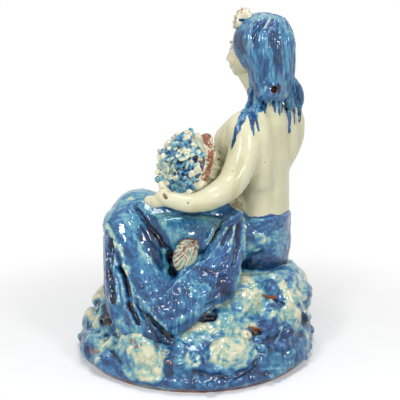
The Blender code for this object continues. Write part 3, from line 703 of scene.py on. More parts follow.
places, facing, tree, stand = ready_to_paint(rock, 14)
height = places[:, 2]
drawn = uneven(places)
swirled = wandering(wandering(places, 12, 22.0), 5, 8.0)
tone = 0.62 + 0.48 * swell(swirled, 26, 3.0) + 0.4 * swell(swirled, 10, 7.0)
tone = np.where(height > 55, tone + 0.1, tone)
band = np.clip((15 - height) / 7, 0, 1)
tone = tone * (1 - band) + (0.34 + 0.5 * swell(swirled, 12, 1.0)) * band
ROCK_TONES = [  # tone, half width and pixels of each stroke
    # under her hips
    (0.62, 9, [(262, 274), (300, 276)]), (0.74, 5, [(258, 274), (275, 274)]),
    (0.86, 4, [(300, 278), (303, 290)]), (0.90, 7, [(252, 294), (258, 302)]),
    (0.84, 5, [(244, 306), (252, 312)]), (0.70, 5, [(228, 318), (240, 322)]),
    (0.66, 4, [(262, 314), (266, 300)]), (0.34, 6, [(272, 284), (276, 300)]),
    (0.30, 4, [(270, 304), (278, 306)]), (0.40, 2, [(290, 276), (290, 288)]),
    (0.84, 5, [(296, 292), (300, 304)]), (0.80, 4, [(282, 316), (290, 310)]),
    # the right flank
    (0.40, 3, [(300, 308), (306, 326)]), (0.12, 3, [(303, 314), (304, 320)]),
    (0.28, 7, [(268, 326), (276, 336)]), (0.16, 4, [(286, 332), (290, 337)]),
    (0.62, 1.6, [(276, 343), (281, 328), (290, 320), (299, 322)]),
    (0.58, 4, [(300, 330), (292, 344)]), (0.36, 5, [(270, 350), (290, 348), (303, 338)]),
    # the boulder on the right
    (0.92, 4, [(228, 342), (240, 340)]), (0.60, 2, [(231, 336), (236, 340)]),
    (0.93, 10, [(218, 352), (230, 358)]), (0.90, 5, [(232, 344), (243, 352)]),
    (0.86, 4, [(240, 360), (247, 354)]), (0.66, 1.3, [(214, 348), (218, 356), (228, 362)]),
    (0.70, 1.2, [(224, 344), (230, 350), (238, 350)]),
    # between the boulders
    (0.68, 4, [(196, 340), (212, 338)]), (0.80, 2, [(186, 352), (188, 368)]),
    (0.50, 1.4, [(191, 352), (192, 366)]), (0.86, 1.6, [(196, 352), (196, 366)]),
    (0.54, 1.4, [(201, 352), (202, 364)]), (0.58, 3, [(206, 344), (207, 358)]),
    # the boulder on the left
    (0.94, 11, [(142, 352), (150, 364)]), (0.90, 6, [(158, 352), (160, 368)]),
    (0.82, 5, [(136, 368), (146, 376)]), (0.72, 5, [(140, 342), (160, 344)]),
    # the cleft and the left end
    (0.16, 4, [(169, 358), (171, 376)]), (0.36, 3, [(176, 366), (180, 376)]),
    (0.52, 5, [(176, 346), (184, 348)]), (0.74, 6, [(104, 332), (126, 338)]),
    (0.86, 2.2, [(114, 330), (122, 336)]), (0.84, 2.0, [(104, 340), (111, 343)]),
    (0.60, 4, [(92, 336), (98, 342)]), (0.62, 6, [(116, 350), (124, 360)]),
    (0.40, 5, [(104, 356), (116, 370)]), (0.20, 3, [(113, 354), (117, 359)]),
    (0.66, 3, [(126, 366), (132, 376)]),
    # behind the tail
    (0.93, 5, [(98, 290), (96, 300)]), (0.93, 5, [(92, 316), (95, 322)]),
    (0.18, 2.4, [(97, 304), (99, 308)]), (0.08, 5, [(108, 308), (107, 322)]),
    (0.50, 4, [(104, 326), (114, 328)]),
    # the foot
    (0.26, 4, [(128, 382), (160, 388), (200, 390)]), (0.60, 3, [(140, 386), (172, 390)]),
    (0.34, 6, [(186, 380), (215, 382), (240, 378)]), (0.22, 5, [(236, 384), (262, 374)]),
    (0.40, 5, [(262, 364), (286, 356), (304, 344)]), (0.56, 2, [(222, 374), (234, 377)]),
    # holes, painted dark as their shade, and the crumbs round them
    (0.04, 3.6, [(204, 319), (215, 316)]), (0.03, 2, [(255, 333), (258, 332)]),
    (0.62, 2, RING),
    (0.84, 1.6, [(254, 350)]), (0.14, 2.4, [(264, 342), (268, 348)]), (0.03, 1.6, [(108, 337)]),
    (0.03, 1.5, [(113, 334)]), (0.03, 1.5, [(126, 334)]),
]
tone = brushed(tone, drawn, tree, ROCK_TONES)
veins = np.clip(1 - 9 * np.abs(swell(swirled, 9, 8.0)), 0, 1) * np.clip(places[:, 2] / 16, 0, 1)
tone += np.clip(0.12 * stand, -0.36, 0.1) + 0.3 * swell(swirled, 5, 2.0) - 0.12 * veins
rust = np.clip(-0.02 - 0.10 * stand, -1, 0.3) + 0.22 * swell(places, 14, 11.0)
rust = np.where(height < 1.8, 0.50 - 0.1 * height, rust)
ROCK_RUST = [  # rust, half width and pixels of each stroke
    (0.50, 2.0, [(131, 341), (136, 346), (146, 342)]),
    (0.48, 1.6, [(152, 344), (160, 348), (167, 352)]), (0.60, 2.6, [(90, 350), (98, 351)]),
    (0.60, 1.2, [(107, 322), (110, 324)]), (0.62, 1.6, [(169, 360), (171, 363)]),
    (0.58, 1.4, [(177, 364)]), (0.55, 1.2, [(173, 342), (177, 344)]),
    (0.46, 1.2, [(187, 352), (186, 362)]), (0.50, 1.1, [(207, 342), (209, 347)]),
    (0.54, 0.9, [(255, 320), (255, 325)]), (0.62, 1.3, [(248, 336)]), (0.60, 1.3, [(262, 337)]),
    (0.62, 1.7, [(262, 347)]), (0.30, 2.6, [(264, 289), (268, 293)]), (0.50, 0.8, [(266, 310)]),
    (0.52, 0.9, [(246, 281), (252, 284), (259, 281)]),
    (0.50, 0.9, [(212, 334), (224, 329), (238, 325)]), (0.72, 2.0, [(180, 392), (202, 392)]),
    (0.50, 1.2, [(202, 336), (206, 338)]),
]
rust = brushed(rust, drawn, tree, ROCK_RUST)
hue = 0.495 + 0.02 * swell(places, 30, 2.0)
ROCK_HUES = [(0.503, 9, [(268, 326), (280, 338)]), (0.503, 4, [(303, 316)])]
hue = brushed(hue, places, tree, ROCK_HUES)
under = (height < 1.0) | ((facing[:, 2] < -0.2) & (np.hypot(places[:, 0], places[:, 1]) < 80))
splashed = glaze("splashed glaze", blotch=0.36, streak=0.55, ripple=0.8, comb=0.8)
flow = swirled * MM * 1.7
finished(rock, splashed, tone=tone, rust=rust, hue=hue, bare=under * 1.0, flow=flow)

# Tail. One thick coil of clay from the hips over the knee, which drops in folds to the rock
# and comes back up as the fin; the glaze is brushed blue and breaks to sea green on the ridges,
# with a painted shadow along the knee's fold and a painted highlight down the front of the shin.
FACING = radians(40)
SEAT = mm(59, 8, 69)
HIP_HEIGHT = 49
HIP_HALF_WIDTH = 27
HIP_HALF_DEPTH = 16
THIGH_LENGTH = 118
KNEE = SEAT + mm(-THIGH_LENGTH, -16, 36)
FIN_TIP = SEAT + mm(-25, -43, 53)


def heading(angle):
    """The way to the front and to the left of someone who looks this way."""
    front = Vector((-cos(angle), sin(angle), 0))
    return front, UP.cross(front)


def folds(count, phase, depth):
    """Folds that run down a section, deeper towards its far end."""

    def stand_out(turn, share):
        return depth * share * (abs(sin(count * turn / 2 + phase)) - 0.6)

    return stand_out


FRONT, LEFT = heading(FACING)
HIP_LEVELS = [(-0.04, 0.85), (0.04, 0.98), (0.2, 1.03), (0.6, 1.04), (0.84, 1.05), (0.9, 0.99)]
sections = [
    (SEAT + UP * HIP_HEIGHT * level, LEFT * HIP_HALF_WIDTH * share, FRONT * HIP_HALF_DEPTH * share)
    for level, share in HIP_LEVELS
]
lumps = [loft(sections, 64, 40)]
THIGH_LEVELS = [  # share of the length, y, middle height over the seat, half width, half height
    (0.02, 0, 24, 24, 25),
    (0.28, -4, 28, 28, 28),
    (0.5, -10, 29, 35, 28),
    (0.7, -14, 32, 34, 29),
    (0.87, -15, 36, 30, 31),
    (1.0, -16, 37, 25, 26),
    (1.09, -17, 37, 14, 14),
]
sections = [
    (SEAT + mm(-THIGH_LENGTH * share, y, z), (0, -width, 0), (0, 0, height))
    for share, y, z, width, height in THIGH_LEVELS
]
lumps.append(loft(sections, 64, 60))
SHIN_LEVELS = [  # down, x and y from the knee, and half widths along x and y
    (-20, 8, -8, 11, 12),
    (-11, 5, -10, 19, 20),
    (3, 8, -14, 23, 22),
    (14, 11, -17, 26, 23),
    (27, 14, -22, 28, 23),
    (45, 18, -30, 31, 26),
    (60, 25, -38, 34, 28),
    (70, 29, -48, 28, 21),
    (77, 33, -54, 20, 14),
]
sections = [
    (KNEE + mm(x, y, -down), mm(a, 0, 0), mm(0, b, 0)) for down, x, y, a, b in SHIN_LEVELS
]
lumps.append(loft(sections, 96, 50, folds(9, 0.4, 3.4)))
FIN_EDGES = [  # left and right edge from the tip, and share of the thickness
    ((-5, 0, -2), (2, 0, 0), 0.4),
    ((-13, -2, -11), (4, 3, -20), 0.6),
    ((-21, -3, -23), (3, 0, -35), 0.8),
    ((-29, -5, -33), (1, -5, -44), 1.0),
    ((-37, -8, -38), (-2, -12, -56), 1.1),
    ((-46, -12, -42), (-6, -18, -63), 1.2),
    ((-52, -14, -45), (-23, -27, -69), 1.3),
    ((-64, -13, -48), (-40, -36, -82), 1.4),
    ((-79, -11, -56), (-60, -39, -88), 1.4),
]
sections = []
for left, right, share in FIN_EDGES:
    low, high = (FIN_TIP + Vector(p) for p in (left, right))
    across = (high - low) / 2
    deep = Vector((0, 1, 0))
    deep = (deep - across * deep.dot(across) / across.length_squared).normalized()
    sections.append(((low + high) / 2, across, deep * 10.4 * share))
lumps.append(loft(sections, 96, 60, folds(13, 0.2, 1.6)))
lumps.append(ball(FIN_TIP + mm(-11, -20, -53), (8.5, 6, 9)))  # a knob where the fin bends
tail = pressed_together("tail", lumps, 0.95, 3)

places, facing = clay_of(tail)
lift = 0.7 * swell(places, 16, 4.0) + 0.45 * swell(places, 7, 8.0) + 0.22 * swell(places, 3.2, 6.0)
reshape(tail, places + facing * lift[:, None])
FOLD_A = [(112, 240), (110.5, 258), (110.5, 277), (112.5, 292), (114, 303)]
FOLD_B = [(120, 268), (126, 280), (128.5, 294), (132, 309), (138, 322)]
FOLD_C = [(148, 314), (156, 325), (163, 333), (172, 339)]
KNEE_FOLD = [(135, 206), (141, 214), (149, 226), (159, 240), (168, 250), (172, 262), (174, 275)]
SHIN_EDGE = [(104, 224), (110.7, 234), (118.5, 246), (123.5, 260), (127, 273)]
FIN_EDGE = [(240, 213), (228, 221), (214, 232), (206, 246), (199, 259), (187, 268), (176, 276)]
FIN_RIB = [(232, 221), (226, 230), (221, 241), (214, 252), (203, 263)]
TAIL_MARKS = [  # height, half width and pixels of each ridge or groove
    (-3.0, 1.7, FOLD_A), (1.4, 1.5, [(u + 4, v) for u, v in FOLD_A]),
    (1.2, 1.4, [(u - 4, v) for u, v in FOLD_A]), (-3.8, 2.0, FOLD_B),
    (1.6, 1.4, [(u + 3.5, v - 1) for u, v in FOLD_B]),
    (1.8, 2.0, [(u - 5, v + 1) for u, v in FOLD_B]), (-3.4, 2.0, FOLD_C),
    (1.7, 1.4, [(136, 295), (142, 300), (147, 307), (152, 313), (160, 322), (168, 331)]),
    (-1.2, 1.6, [(133, 299), (139, 306), (145, 314)]), (1.2, 2.0, SHIN_EDGE),
    (-1.6, 2.0, [(u - 3, v + 8) for u, v in SHIN_EDGE]), (-3.6, (1.2, 3.4), KNEE_FOLD),
    (1.2, 3.0, [(128, 210), (137, 224), (148, 240), (158, 254)]),
    (1.0, 1.1, [(173, 287), (172, 298), (171, 307), (174, 317)]),
    (2.0, 2.8, [(168, 292), (176, 284), (188, 274), (199, 264)]),
    (-2.0, 1.8, [(201, 280), (208, 282), (215, 286)]), (1.8, 1.9, FIN_EDGE), (1.5, 1.5, FIN_RIB),
    (1.6, 1.5, [(237, 219), (234, 233), (230, 248), (226, 262)]),
    (1.5, 2.2, [(243, 218), (244, 238), (243, 262), (238, 284)]),
    (-2.2, 1.8, [(222, 224), (216, 233), (212, 242)]),
    (-2.2, 1.6, [(231, 224), (226, 234), (222, 244)]),
    (-2.2, 1.9, [(240, 226), (238, 245), (233, 266)]), (-3.0, 1.3, [(226, 256)]),
    (-1.4, 2.4, [(206, 268), (214, 272), (222, 270)]),
    (-1.4, 2.6, [(184, 286), (190, 298), (200, 306), (212, 304)]),
    (1.2, 2.8, [(180, 296), (186, 308), (198, 316)]),
    (-1.2, 2.2, [(216, 292), (214, 302), (206, 308)]),
    (-1.0, 2.0, [(150, 290), (158, 304), (170, 318)]),
    (1.0, 2.4, [(144, 284), (152, 298), (162, 312)]),
    (-1.6, 2.0, [(160, 218), (176, 214), (200, 214), (222, 216)]),
]
worked(tail, TAIL_MARKS)

places, facing, tree, stand = ready_to_paint(tail, 10)
drawn = uneven(places)
tone = 0.43 + 0.3 * swell(drawn, 19, 2.0) + 0.12 * swell(drawn, 8, 12.0)
knee_top = np.clip((places[:, 2] - 122) / 16, 0, 1) * np.clip((20 - places[:, 0]) / 30, 0, 1)
tone += 0.16 * knee_top
TAIL_TONES = [  # tone, half width and pixels of each stroke
    # the top of the knee
    (0.56, 6, [(108, 214), (118, 200), (134, 194)]), (0.50, 7, [(130, 198), (156, 204)]),
    (0.62, 3, [(106, 222), (112, 210)]), (0.66, 3, [(122, 206), (128, 200)]),
    (0.60, 5, [(142, 196), (154, 196)]), (0.90, 2.0, [(130, 198), (134, 200)]),
    # the pale strokes down the front of the shin are a painted highlight, laid over a light streak
    (0.40, 7, [(118, 222), (128, 240)]), (0.66, 3, [(124, 216), (131, 228), (138, 238)]),
    (0.72, 2, [(138, 240), (140, 254), (149, 262)]), (0.70, 1.8, [(150, 262), (157, 268)]),
    # painted shadow beside the knee's fold
    (0.22, 5, [(143, 232), (152, 246), (160, 262)]),
    (0.36, 7, [(122, 252), (134, 276), (146, 292)]),
    (0.50, 3.5, [(138, 268), (150, 284), (160, 298)]),
    # down the shin
    (0.76, 1.8, SHIN_EDGE), (0.60, 2.4, [(102, 228), (104, 240)]),
    (0.30, 5, [(106, 250), (106, 300)]), (0.50, 3, [(117, 262), (118, 290), (124, 310)]),
    (0.58, 3, [(120, 318), (130, 330), (142, 336)]), (0.36, 5, [(140, 318), (150, 334)]),
    (0.16, 4, [(146, 338), (156, 342), (172, 344)]),
    # the lap and the notch
    (0.55, 5, [(156, 216), (176, 218), (205, 220)]), (0.66, 3.4, [(160, 222), (166, 232)]),
    (0.74, 2.0, [(150, 206), (156, 216), (165, 219)]),
    (0.34, 5, [(186, 224), (204, 232), (196, 244)]), (0.62, 3, [(176, 232), (190, 236)]),
    (0.66, 2.0, [(196, 216), (208, 219), (220, 218)]), (0.28, 3, [(218, 216), (232, 214)]),
    # painted shadow in the knee's fold, where the shin leaves the thigh
    (0.04, (1.0, 4.0), KNEE_FOLD), (0.18, 3.0, [(150, 218), (160, 230), (168, 244)]),
    (0.80, 1.6, [(165, 251), (170, 262), (173, 272)]),
    (0.58, 1.6, [(162, 250), (166, 262), (172, 272)]),
    # the folds, and the edges that the glaze has left light
    (0.05, 2.2, FOLD_A), (0.03, 2.8, FOLD_B), (0.05, 2.8, FOLD_C),
    (0.10, 3.4, [(152, 320), (158, 330), (166, 336)]),
    (0.86, 0.8, [(113, 248), (112.5, 262), (112.5, 276)]),
    (0.86, 0.9, [(126, 274), (130, 288), (131, 298), (135, 311)]),
    (0.84, 1.0, [(136, 296), (142, 301), (146, 307), (151, 313)]),
    (0.84, 0.9, [(156, 318), (161, 325), (166, 331), (176, 338)]),
    # where the tail turns up
    (0.46, 8, [(186, 280), (200, 290)]), (0.34, 7, [(164, 296), (176, 312), (188, 322)]),
    (0.54, 4, [(194, 296), (206, 300)]), (0.60, 2.0, [(192, 282), (204, 284), (210, 292)]),
    (0.58, 2.6, [(178, 322), (190, 318), (200, 312)]),
    (0.24, 4, [(196, 266), (206, 272), (216, 268)]), (0.32, 5, [(212, 296), (222, 302)]),
    # the fin
    (0.44, 6, [(206, 250), (214, 260)]), (0.52, 3, [(200, 262), (212, 254), (220, 246)]),
    (0.30, 4, [(226, 262), (230, 276)]),
    (0.60, 2.6, [(244, 218), (245, 240), (243, 262), (238, 282)]),
    (0.10, 3.2, [(236, 214), (240, 222)]), (0.20, 3.0, [(228, 220), (236, 230)]),
    (0.08, 1.7, [(222, 224), (216, 233), (212, 242)]),
    (0.10, 1.6, [(231, 224), (226, 234), (222, 243)]),
    (0.14, 2.0, [(240, 226), (238, 246), (234, 262)]),
    (0.74, 0.9, [(219, 223), (213, 231), (210, 241)]),
    (0.70, 0.8, [(225, 222), (219, 232), (214, 243)]),
    (0.72, 0.9, [(232, 222), (227, 230), (224, 236)]),
    # the pinhole in the fin is painted dark as its shade
    (0.76, 1.2, [(236, 224), (233, 236), (229, 250)]), (0.02, 1.5, [(226, 256)]),
    (0.12, 6, [(224, 284), (227, 292)]), (0.36, 3, [(232, 296), (224, 304)]),
    # the hips
    (0.16, 5, [(247, 264), (270, 266), (292, 264)]),
    (0.42, 4, [(250, 224), (270, 226), (290, 224)]), (0.74, 2.6, [(256, 236), (268, 240)]),
    (0.62, 2.4, [(280, 234), (288, 244)]), (0.70, 1.8, [(249, 244), (258, 250)]),
    (0.34, 2.2, [(246, 217), (262, 218), (280, 217), (293, 218)]),
]
tone = brushed(tone, drawn, tree, TAIL_TONES)
tone += np.clip(0.18 * stand, -0.34, 0.24)
rust = np.clip(-0.10 - 0.10 * stand, -1, 0.05) + 0.14 * swell(places, 12, 15.0)
TAIL_RUST = [  # rust, half width and pixels of each stroke
    (0.62, 1.1, [(150, 226), (156, 234), (162, 243)]),
    (0.50, 1.0, [(168, 252), (172, 264), (174, 274)]),
    (0.52, 0.7, [(111.5, 248), (111, 262), (111, 280)]),
    (0.60, 0.8, [(127, 279), (129.5, 293), (132, 306), (136, 315)]),
    (0.56, 0.8, [(139, 300), (145, 307), (150, 314)]),
    (0.56, 0.9, [(158, 322), (164, 330), (174, 338)]),
    (0.50, 0.7, [(173, 288), (172, 299), (171, 307), (174, 316)]),
    (0.50, 0.9, [(131, 201), (134, 202)]), (0.48, 0.8, [(209, 224), (214, 221)]),
]
rust = brushed(rust, drawn, tree, TAIL_RUST)
hue = 0.494 + 0.012 * swell(places, 25, 2.0)
TAIL_HUES = [  # hue, half width and pixels of each stroke
    (0.502, 12, [(240, 220), (230, 250), (215, 262)]), (0.506, 6, [(224, 288), (230, 276)]),
    (0.502, 5, [(188, 308), (196, 316)]), (0.48, 8, [(160, 220), (200, 226)]),
    (0.47, 4, [(165, 251), (173, 272)]),
]
hue = brushed(hue, places, tree, TAIL_HUES)
# The brush ran down the shin, up the fin, and round the hips and thighs.
shin = np.clip((30 - places[:, 0]) / 60, 0, 1) * np.clip((122 - places[:, 2]) / 24, 0, 1)
on_fin = np.clip((places[:, 0] + 40) / 30, 0, 1) * np.clip((-20 - places[:, 1]) / 14, 0, 1)
slope = np.clip((places[:, 0] + 70) / 50, 0, 1)
run = np.stack([0.3 + 0.4 * slope, 0 * slope, -0.95 + 0.1 * slope], axis=1) * shin[:, None]
run += np.outer(on_fin, (-0.61, 0, -0.79)) + np.outer((1 - shin) * (1 - on_fin), (1, 0, 0.1))
run /= np.linalg.norm(run, axis=1)[:, None]
from_knee = wandering(places, 1.6, 16.0) - np.array(KNEE)
flow = (from_knee - 0.92 * np.sum(from_knee * run, axis=1)[:, None] * run) * MM
blue_glaze = glaze("brushed blue glaze", blotch=0.18, streak=0.85, ripple=0.75, comb=1.2, Bare=0.0)
finished(tail, blue_glaze, tone=tone, rust=rust, hue=hue, flow=flow)

# Shell in the tail's notch. A thumb-sized fan of clay, scored with a tool from its hinge, and
# left in a thin olive wash with brown in the scores.
shell_place = KNEE + mm(51, -37, -15)
lean = Matrix.Rotation(radians(15), 3, "Y")
shell_axes = [lean @ Vector(v) for v in ((1, 0, 0), (0, 1, 0), (0, 0, 1))]
lumps = [ball(shell_place, (9.5, 6, 14), shell_axes, 32)]
lumps.append(ball(shell_place + mm(5, 0.5, 8), (6, 4.5, 5.5), shell_axes, 24))
shell = pressed_together("tail_shell", lumps, 0.5, 2)
SHELL_HINGE = (196, 241)
SHELL_EDGE = [(181, 240), (177, 244), (175, 249), (173.5, 254), (173, 259), (174, 264)]
SHELL_EDGE += [(176, 269), (181, 271)]
SHELL_RIM = [(178, 243), (186, 237), (195, 238), (200, 244)]
scores = []
for u, v in SHELL_EDGE:
    bend = ((SHELL_HINGE[0] + u) / 2 - 1, (SHELL_HINGE[1] + v) / 2 + 2)
    scores.append([SHELL_HINGE, bend, (u, v)])
worked(shell, [(-0.8, (0.5, 0.9), score) for score in scores])
worked(shell, [(0.5, (0.5, 1.2), [(u + 1, v + 2.4) for u, v in score]) for score in scores])
places, facing, tree, stand = ready_to_paint(shell, 8)
away = (places - np.array(shell_place)) @ np.array(shell_axes[2])
tone = 0.84 + 0.14 * swell(places, 5, 3.0) - 0.006 * away + np.clip(0.3 * stand, -0.35, 0.1)
rust = 0.40 - 0.5 * np.clip(stand, -0.5, 0.25) + 0.012 * away
rust = brushed(rust, places, tree, [(0.5, 0.7, score) for score in scores])
rust = brushed(rust, places, tree, [(0.66, 1.3, SHELL_RIM)])
flow = places * MM
flow[:, 2] *= 0.25
wash = glaze("olive wash", blotch=0.2, streak=0.3, ripple=0.4, Hue=0.47, Bare=0.0)
finished(shell, wash, tone=tone, rust=rust, flow=flow)

# Body. Torso, arms, neck and face in one skin of clay under a clear ivory glaze, which pools
# yellow-green in the hollows and is darkened by painted shade along the creases of the arm, the
# flank and the spine, under the elbow and in the hand; the eyes, the brows and the lips are
# touched in with a brush, and the blue of the hair runs out over her back in thick strokes.
TORSO_HEIGHT = 80
SHOULDER_HALF_SPAN = 34
SHOULDER_RADIUS = 13.5
HEAD_FACING = radians(30)
SKULL = (23, 26, 26.5)
WAIST = SEAT + UP * HIP_HEIGHT
HEAD = WAIST + UP * (TORSO_HEIGHT + 53) + mm(-5.5, 4, 0)
BASKET_MOUTH = SEAT + mm(-THIGH_LENGTH / 2 - 8, -32, 89.5)
BASKET_AXIS = Vector((-0.45, -0.86, 0.28)).normalized()
HEAD_FRONT, HEAD_LEFT = heading(HEAD_FACING)
HEAD_AXES = (HEAD_LEFT, HEAD_FRONT, UP)
BODY_AXES = (LEFT, FRONT, UP)


def on_body(level, front=0.0, left=0.0):
    """A place in the torso's frame, level above the waist."""
    return WAIST + UP * level + FRONT * front + LEFT * left


def on_head(left, front, up):
    """A place in the head's frame, from its middle."""
    return HEAD + HEAD_LEFT * left + HEAD_FRONT * front + UP * up


TORSO_LEVELS = [  # share of the torso, forward, half width, half depth
    (-0.1, 0, 26, 15.2),
    (0.0, 0, 26, 15.2),
    (0.14, 0, 25.4, 15.0),
    (0.3, 0, 25.0, 14.9),
    (0.6, 4, 28.6, 18.2),
    (0.85, 4, 31, 16.4),
    (0.98, 3, 25, 11),
    (1.06, 2, 15, 11),
]
sections = [
    (on_body(TORSO_HEIGHT * level, front), LEFT * width, FRONT * depth)
    for level, front, width, depth in TORSO_LEVELS
]
lumps = [loft(sections, 64, 50)]
TORSO_LUMPS = [  # share of the torso, forward, to the left, and half axes
    (0.79, 14, 0, (27, 15, 19)),  # chest
    (0.16, 8, 0, (20, 15, 20)),  # lap
    (0.49, 21, 3, (22, 24, 24)),  # belly, against the basket
]
for level, front, left, halves in TORSO_LUMPS:
    lumps.append(ball(on_body(level * TORSO_HEIGHT, front, left), halves, BODY_AXES))
lumps.append(ball(mm(35, -2, 120), (10, 9, 10)))  # fills the gap between elbow, belly and lap
flank = [on_body(62, -5, 24), on_body(44, -6, 22), on_body(26, -4, 18)]
lumps.append(roll(flank, [12, 12, 12], 24))
for side in (1, -1):
    breast = on_body(0.69 * TORSO_HEIGHT, 30, 13.6 * side)
    root = on_body(0.92 * TORSO_HEIGHT, 13, 17 * side)
    lumps.append(roll([root, (root + breast) / 2, breast], [8.0, 11.0, 12.6], 28))
    lumps.append(ball(on_body(0.70 * TORSO_HEIGHT, 15, 24 * side), (10.5, 12, 15), BODY_AXES))
    lumps.append(ball(on_body(0.70 * TORSO_HEIGHT, -3, 19 * side), (13, 12, 27), BODY_AXES))
    shoulder = on_body(TORSO_HEIGHT - 13, 2, side * (SHOULDER_HALF_SPAN - 1))
    lumps.append(ball(shoulder, (SHOULDER_RADIUS,) * 3))
neck = on_body(TORSO_HEIGHT - 4, 2)
jaw = neck + UP * 34 + FRONT * 3
lumps.append(roll([neck, (neck + jaw) / 2, jaw], [13, 11, 11], 24))
lumps.append(roll([neck - UP * 6, neck + UP * 4, neck + UP * 16], [18, 15, 10], 24))
throat = [on_head(0, 15, -23), on_head(0, 8, -31), on_body(88, 5)]
lumps.append(roll(throat, [6.5, 8, 10], 24))

hold = BASKET_MOUTH - UP * 26
left_shoulder = on_body(TORSO_HEIGHT - 13, 2, SHOULDER_HALF_SPAN - 1)
left_arm = [
    left_shoulder,
    left_shoulder + mm(2, -5, -15),
    left_shoulder + mm(-2, -9, -29),
    left_shoulder + mm(-10, -17, -42),
    hold + mm(21, -21, 3.5),
    hold + mm(5, -25, -0.5),
    hold + mm(-10, -25, 2.0),
    hold + mm(-17, -22, 3.5),
]
lumps.append(roll(left_arm, [13.5, 13.0, 12.6, 11.2, 9.4, 7.2, 6.2, 6.0], 28))
palm = left_arm[-1]
thumb = [palm + mm(5, 0, 0), palm + mm(2, 1, 4), palm + mm(-1, 2, 10)]
lumps.append(roll(thumb, [4.2, 3.8, 2.7]))
fingers = [palm + mm(3, 0, -1), palm + mm(-5, 1, -3.5), palm + mm(-10.5, 3, -3.0)]
lumps.append(roll(fingers, [5.4, 4.9, 3.9], 18))
far = BASKET_MOUTH - BASKET_AXIS * 33
right_shoulder = on_body(TORSO_HEIGHT - 10, 2, -SHOULDER_HALF_SPAN)
right_arm = [
    right_shoulder,
    right_shoulder + mm(1, 3, -16),
    right_shoulder + mm(-5, 8, -34),
    right_shoulder + mm(-14, 11, -50),
    far + mm(30, 32, -18),
    far + mm(14, 20, -16),
    far + mm(0, 10, -12),
]
lumps.append(roll(right_arm, [14, 12.7, 11.5, 10.5, 9, 7, 6.5], 28))
fingers = [far + mm(4, 12, -13), far + mm(-5, 3, -12), far + mm(-9, -5, -11)]
lumps.append(roll(fingers, [6.4, 5.2, 4.0], 18))
lumps.append(roll([far + mm(2, 9, -9), far + mm(-2, 4, -4)], [3.6, 2.6]))  # right thumb


def feature(rows, radii, around=10, side=1):
    """A thin roll on the head, through rows of left, front and up."""
    path = [on_head(left * side, front, up) for left, front, up in rows]
    lumps.append(roll(path, radii, around))


NOSE = [(0, 27, -1.0), (0, 28.8, -6.5), (0, 30.4, -11)]
BROW = [(3.2, 25.5, 1.0), (7.5, 24.3, 2.2), (12.5, 20.1, 0.6)]
UPPER_LID = [(4.0, 25.2, -4.2), (7.4, 24.8, -2.6), (10.6, 21.6, -3.8)]
LOWER_LID = [(4.0, 25.2, -4.8), (7.4, 24.4, -6.4), (10.6, 21.6, -5.0)]
UPPER_LIP = [(-4.4, 26, -17), (-1.6, 28, -16), (0, 28, -16.4), (1.6, 28, -16), (4.4, 26, -17)]
LOWER_LIP = [(-3.6, 26.0, -17.6), (0, 27.6, -18.6), (3.6, 26.0, -17.6)]
lumps.append(ball(HEAD, (20.5, 23.5, 24.5), HEAD_AXES, 32))
lumps.append(ball(on_head(0, 14.3, -9), (14.5, 14, 16), HEAD_AXES, 32))
lumps.append(ball(on_head(0, 20.5, -20.5), (6, 6, 5), HEAD_AXES))  # chin
feature(NOSE, [1.7, 1.7, 2.4], 14)
for side in (1, -1):
    lumps.append(ball(on_head(2.4 * side, 28.4, -12), (1.7, 2.0, 1.6), HEAD_AXES, 12))  # nostril
    lumps.append(ball(on_head(9 * side, 20, -12.5), (5, 5.5, 5), HEAD_AXES))  # cheek
    feature(BROW, [1.3, 1.5, 0.9], 14, side)
    feature(UPPER_LID, [0.8, 0.9, 0.7], side=side)
    feature(LOWER_LID, [0.6, 0.8, 0.6], side=side)
feature(UPPER_LIP, [0.7, 1.1, 1.0, 1.1, 0.7])
feature(LOWER_LIP, [0.7, 1.4, 0.7])
body = pressed_together("body", lumps, 0.85, 4)

places, facing = clay_of(body)
rubbed = np.clip((216 - places[:, 2]) / 10, 0, 1) * np.clip((places[:, 0] - 8) / 26, 0.12, 1)
by_thumb = body.vertex_groups.new(name="rubbed by thumb")
for n, share in enumerate(rubbed):
    if share > 0:
        by_thumb.add([n], float(share), "REPLACE")
applied(body, "SMOOTH", iterations=80, vertex_group=by_thumb.name)
body.vertex_groups.clear()
places, facing = clay_of(body)
lift = 0.35 * swell(places, 14, 4.0) + 0.16 * swell(places, 5, 8.0)
calm = np.clip((places[:, 2] - 214) / 8, 0, 1)
reshape(body, places + facing * (lift * (1 - calm))[:, None])
BODY_MARKS = [  # the dip of the spine, and pits, as height, half width and pixels
    (-0.5, 5.0, [(270, 150), (272, 175), (271, 198), (270, 214)]), (-1.2, 1.0, [(188, 203)]),
    (-1.0, 0.9, [(265, 163)]), (-0.9, 0.9, [(232, 171)]), (-1.0, 1.6, [(163, 194), (166, 198)]),
]
worked(body, BODY_MARKS)
places, facing, tree, stand = ready_to_paint(body, 40)
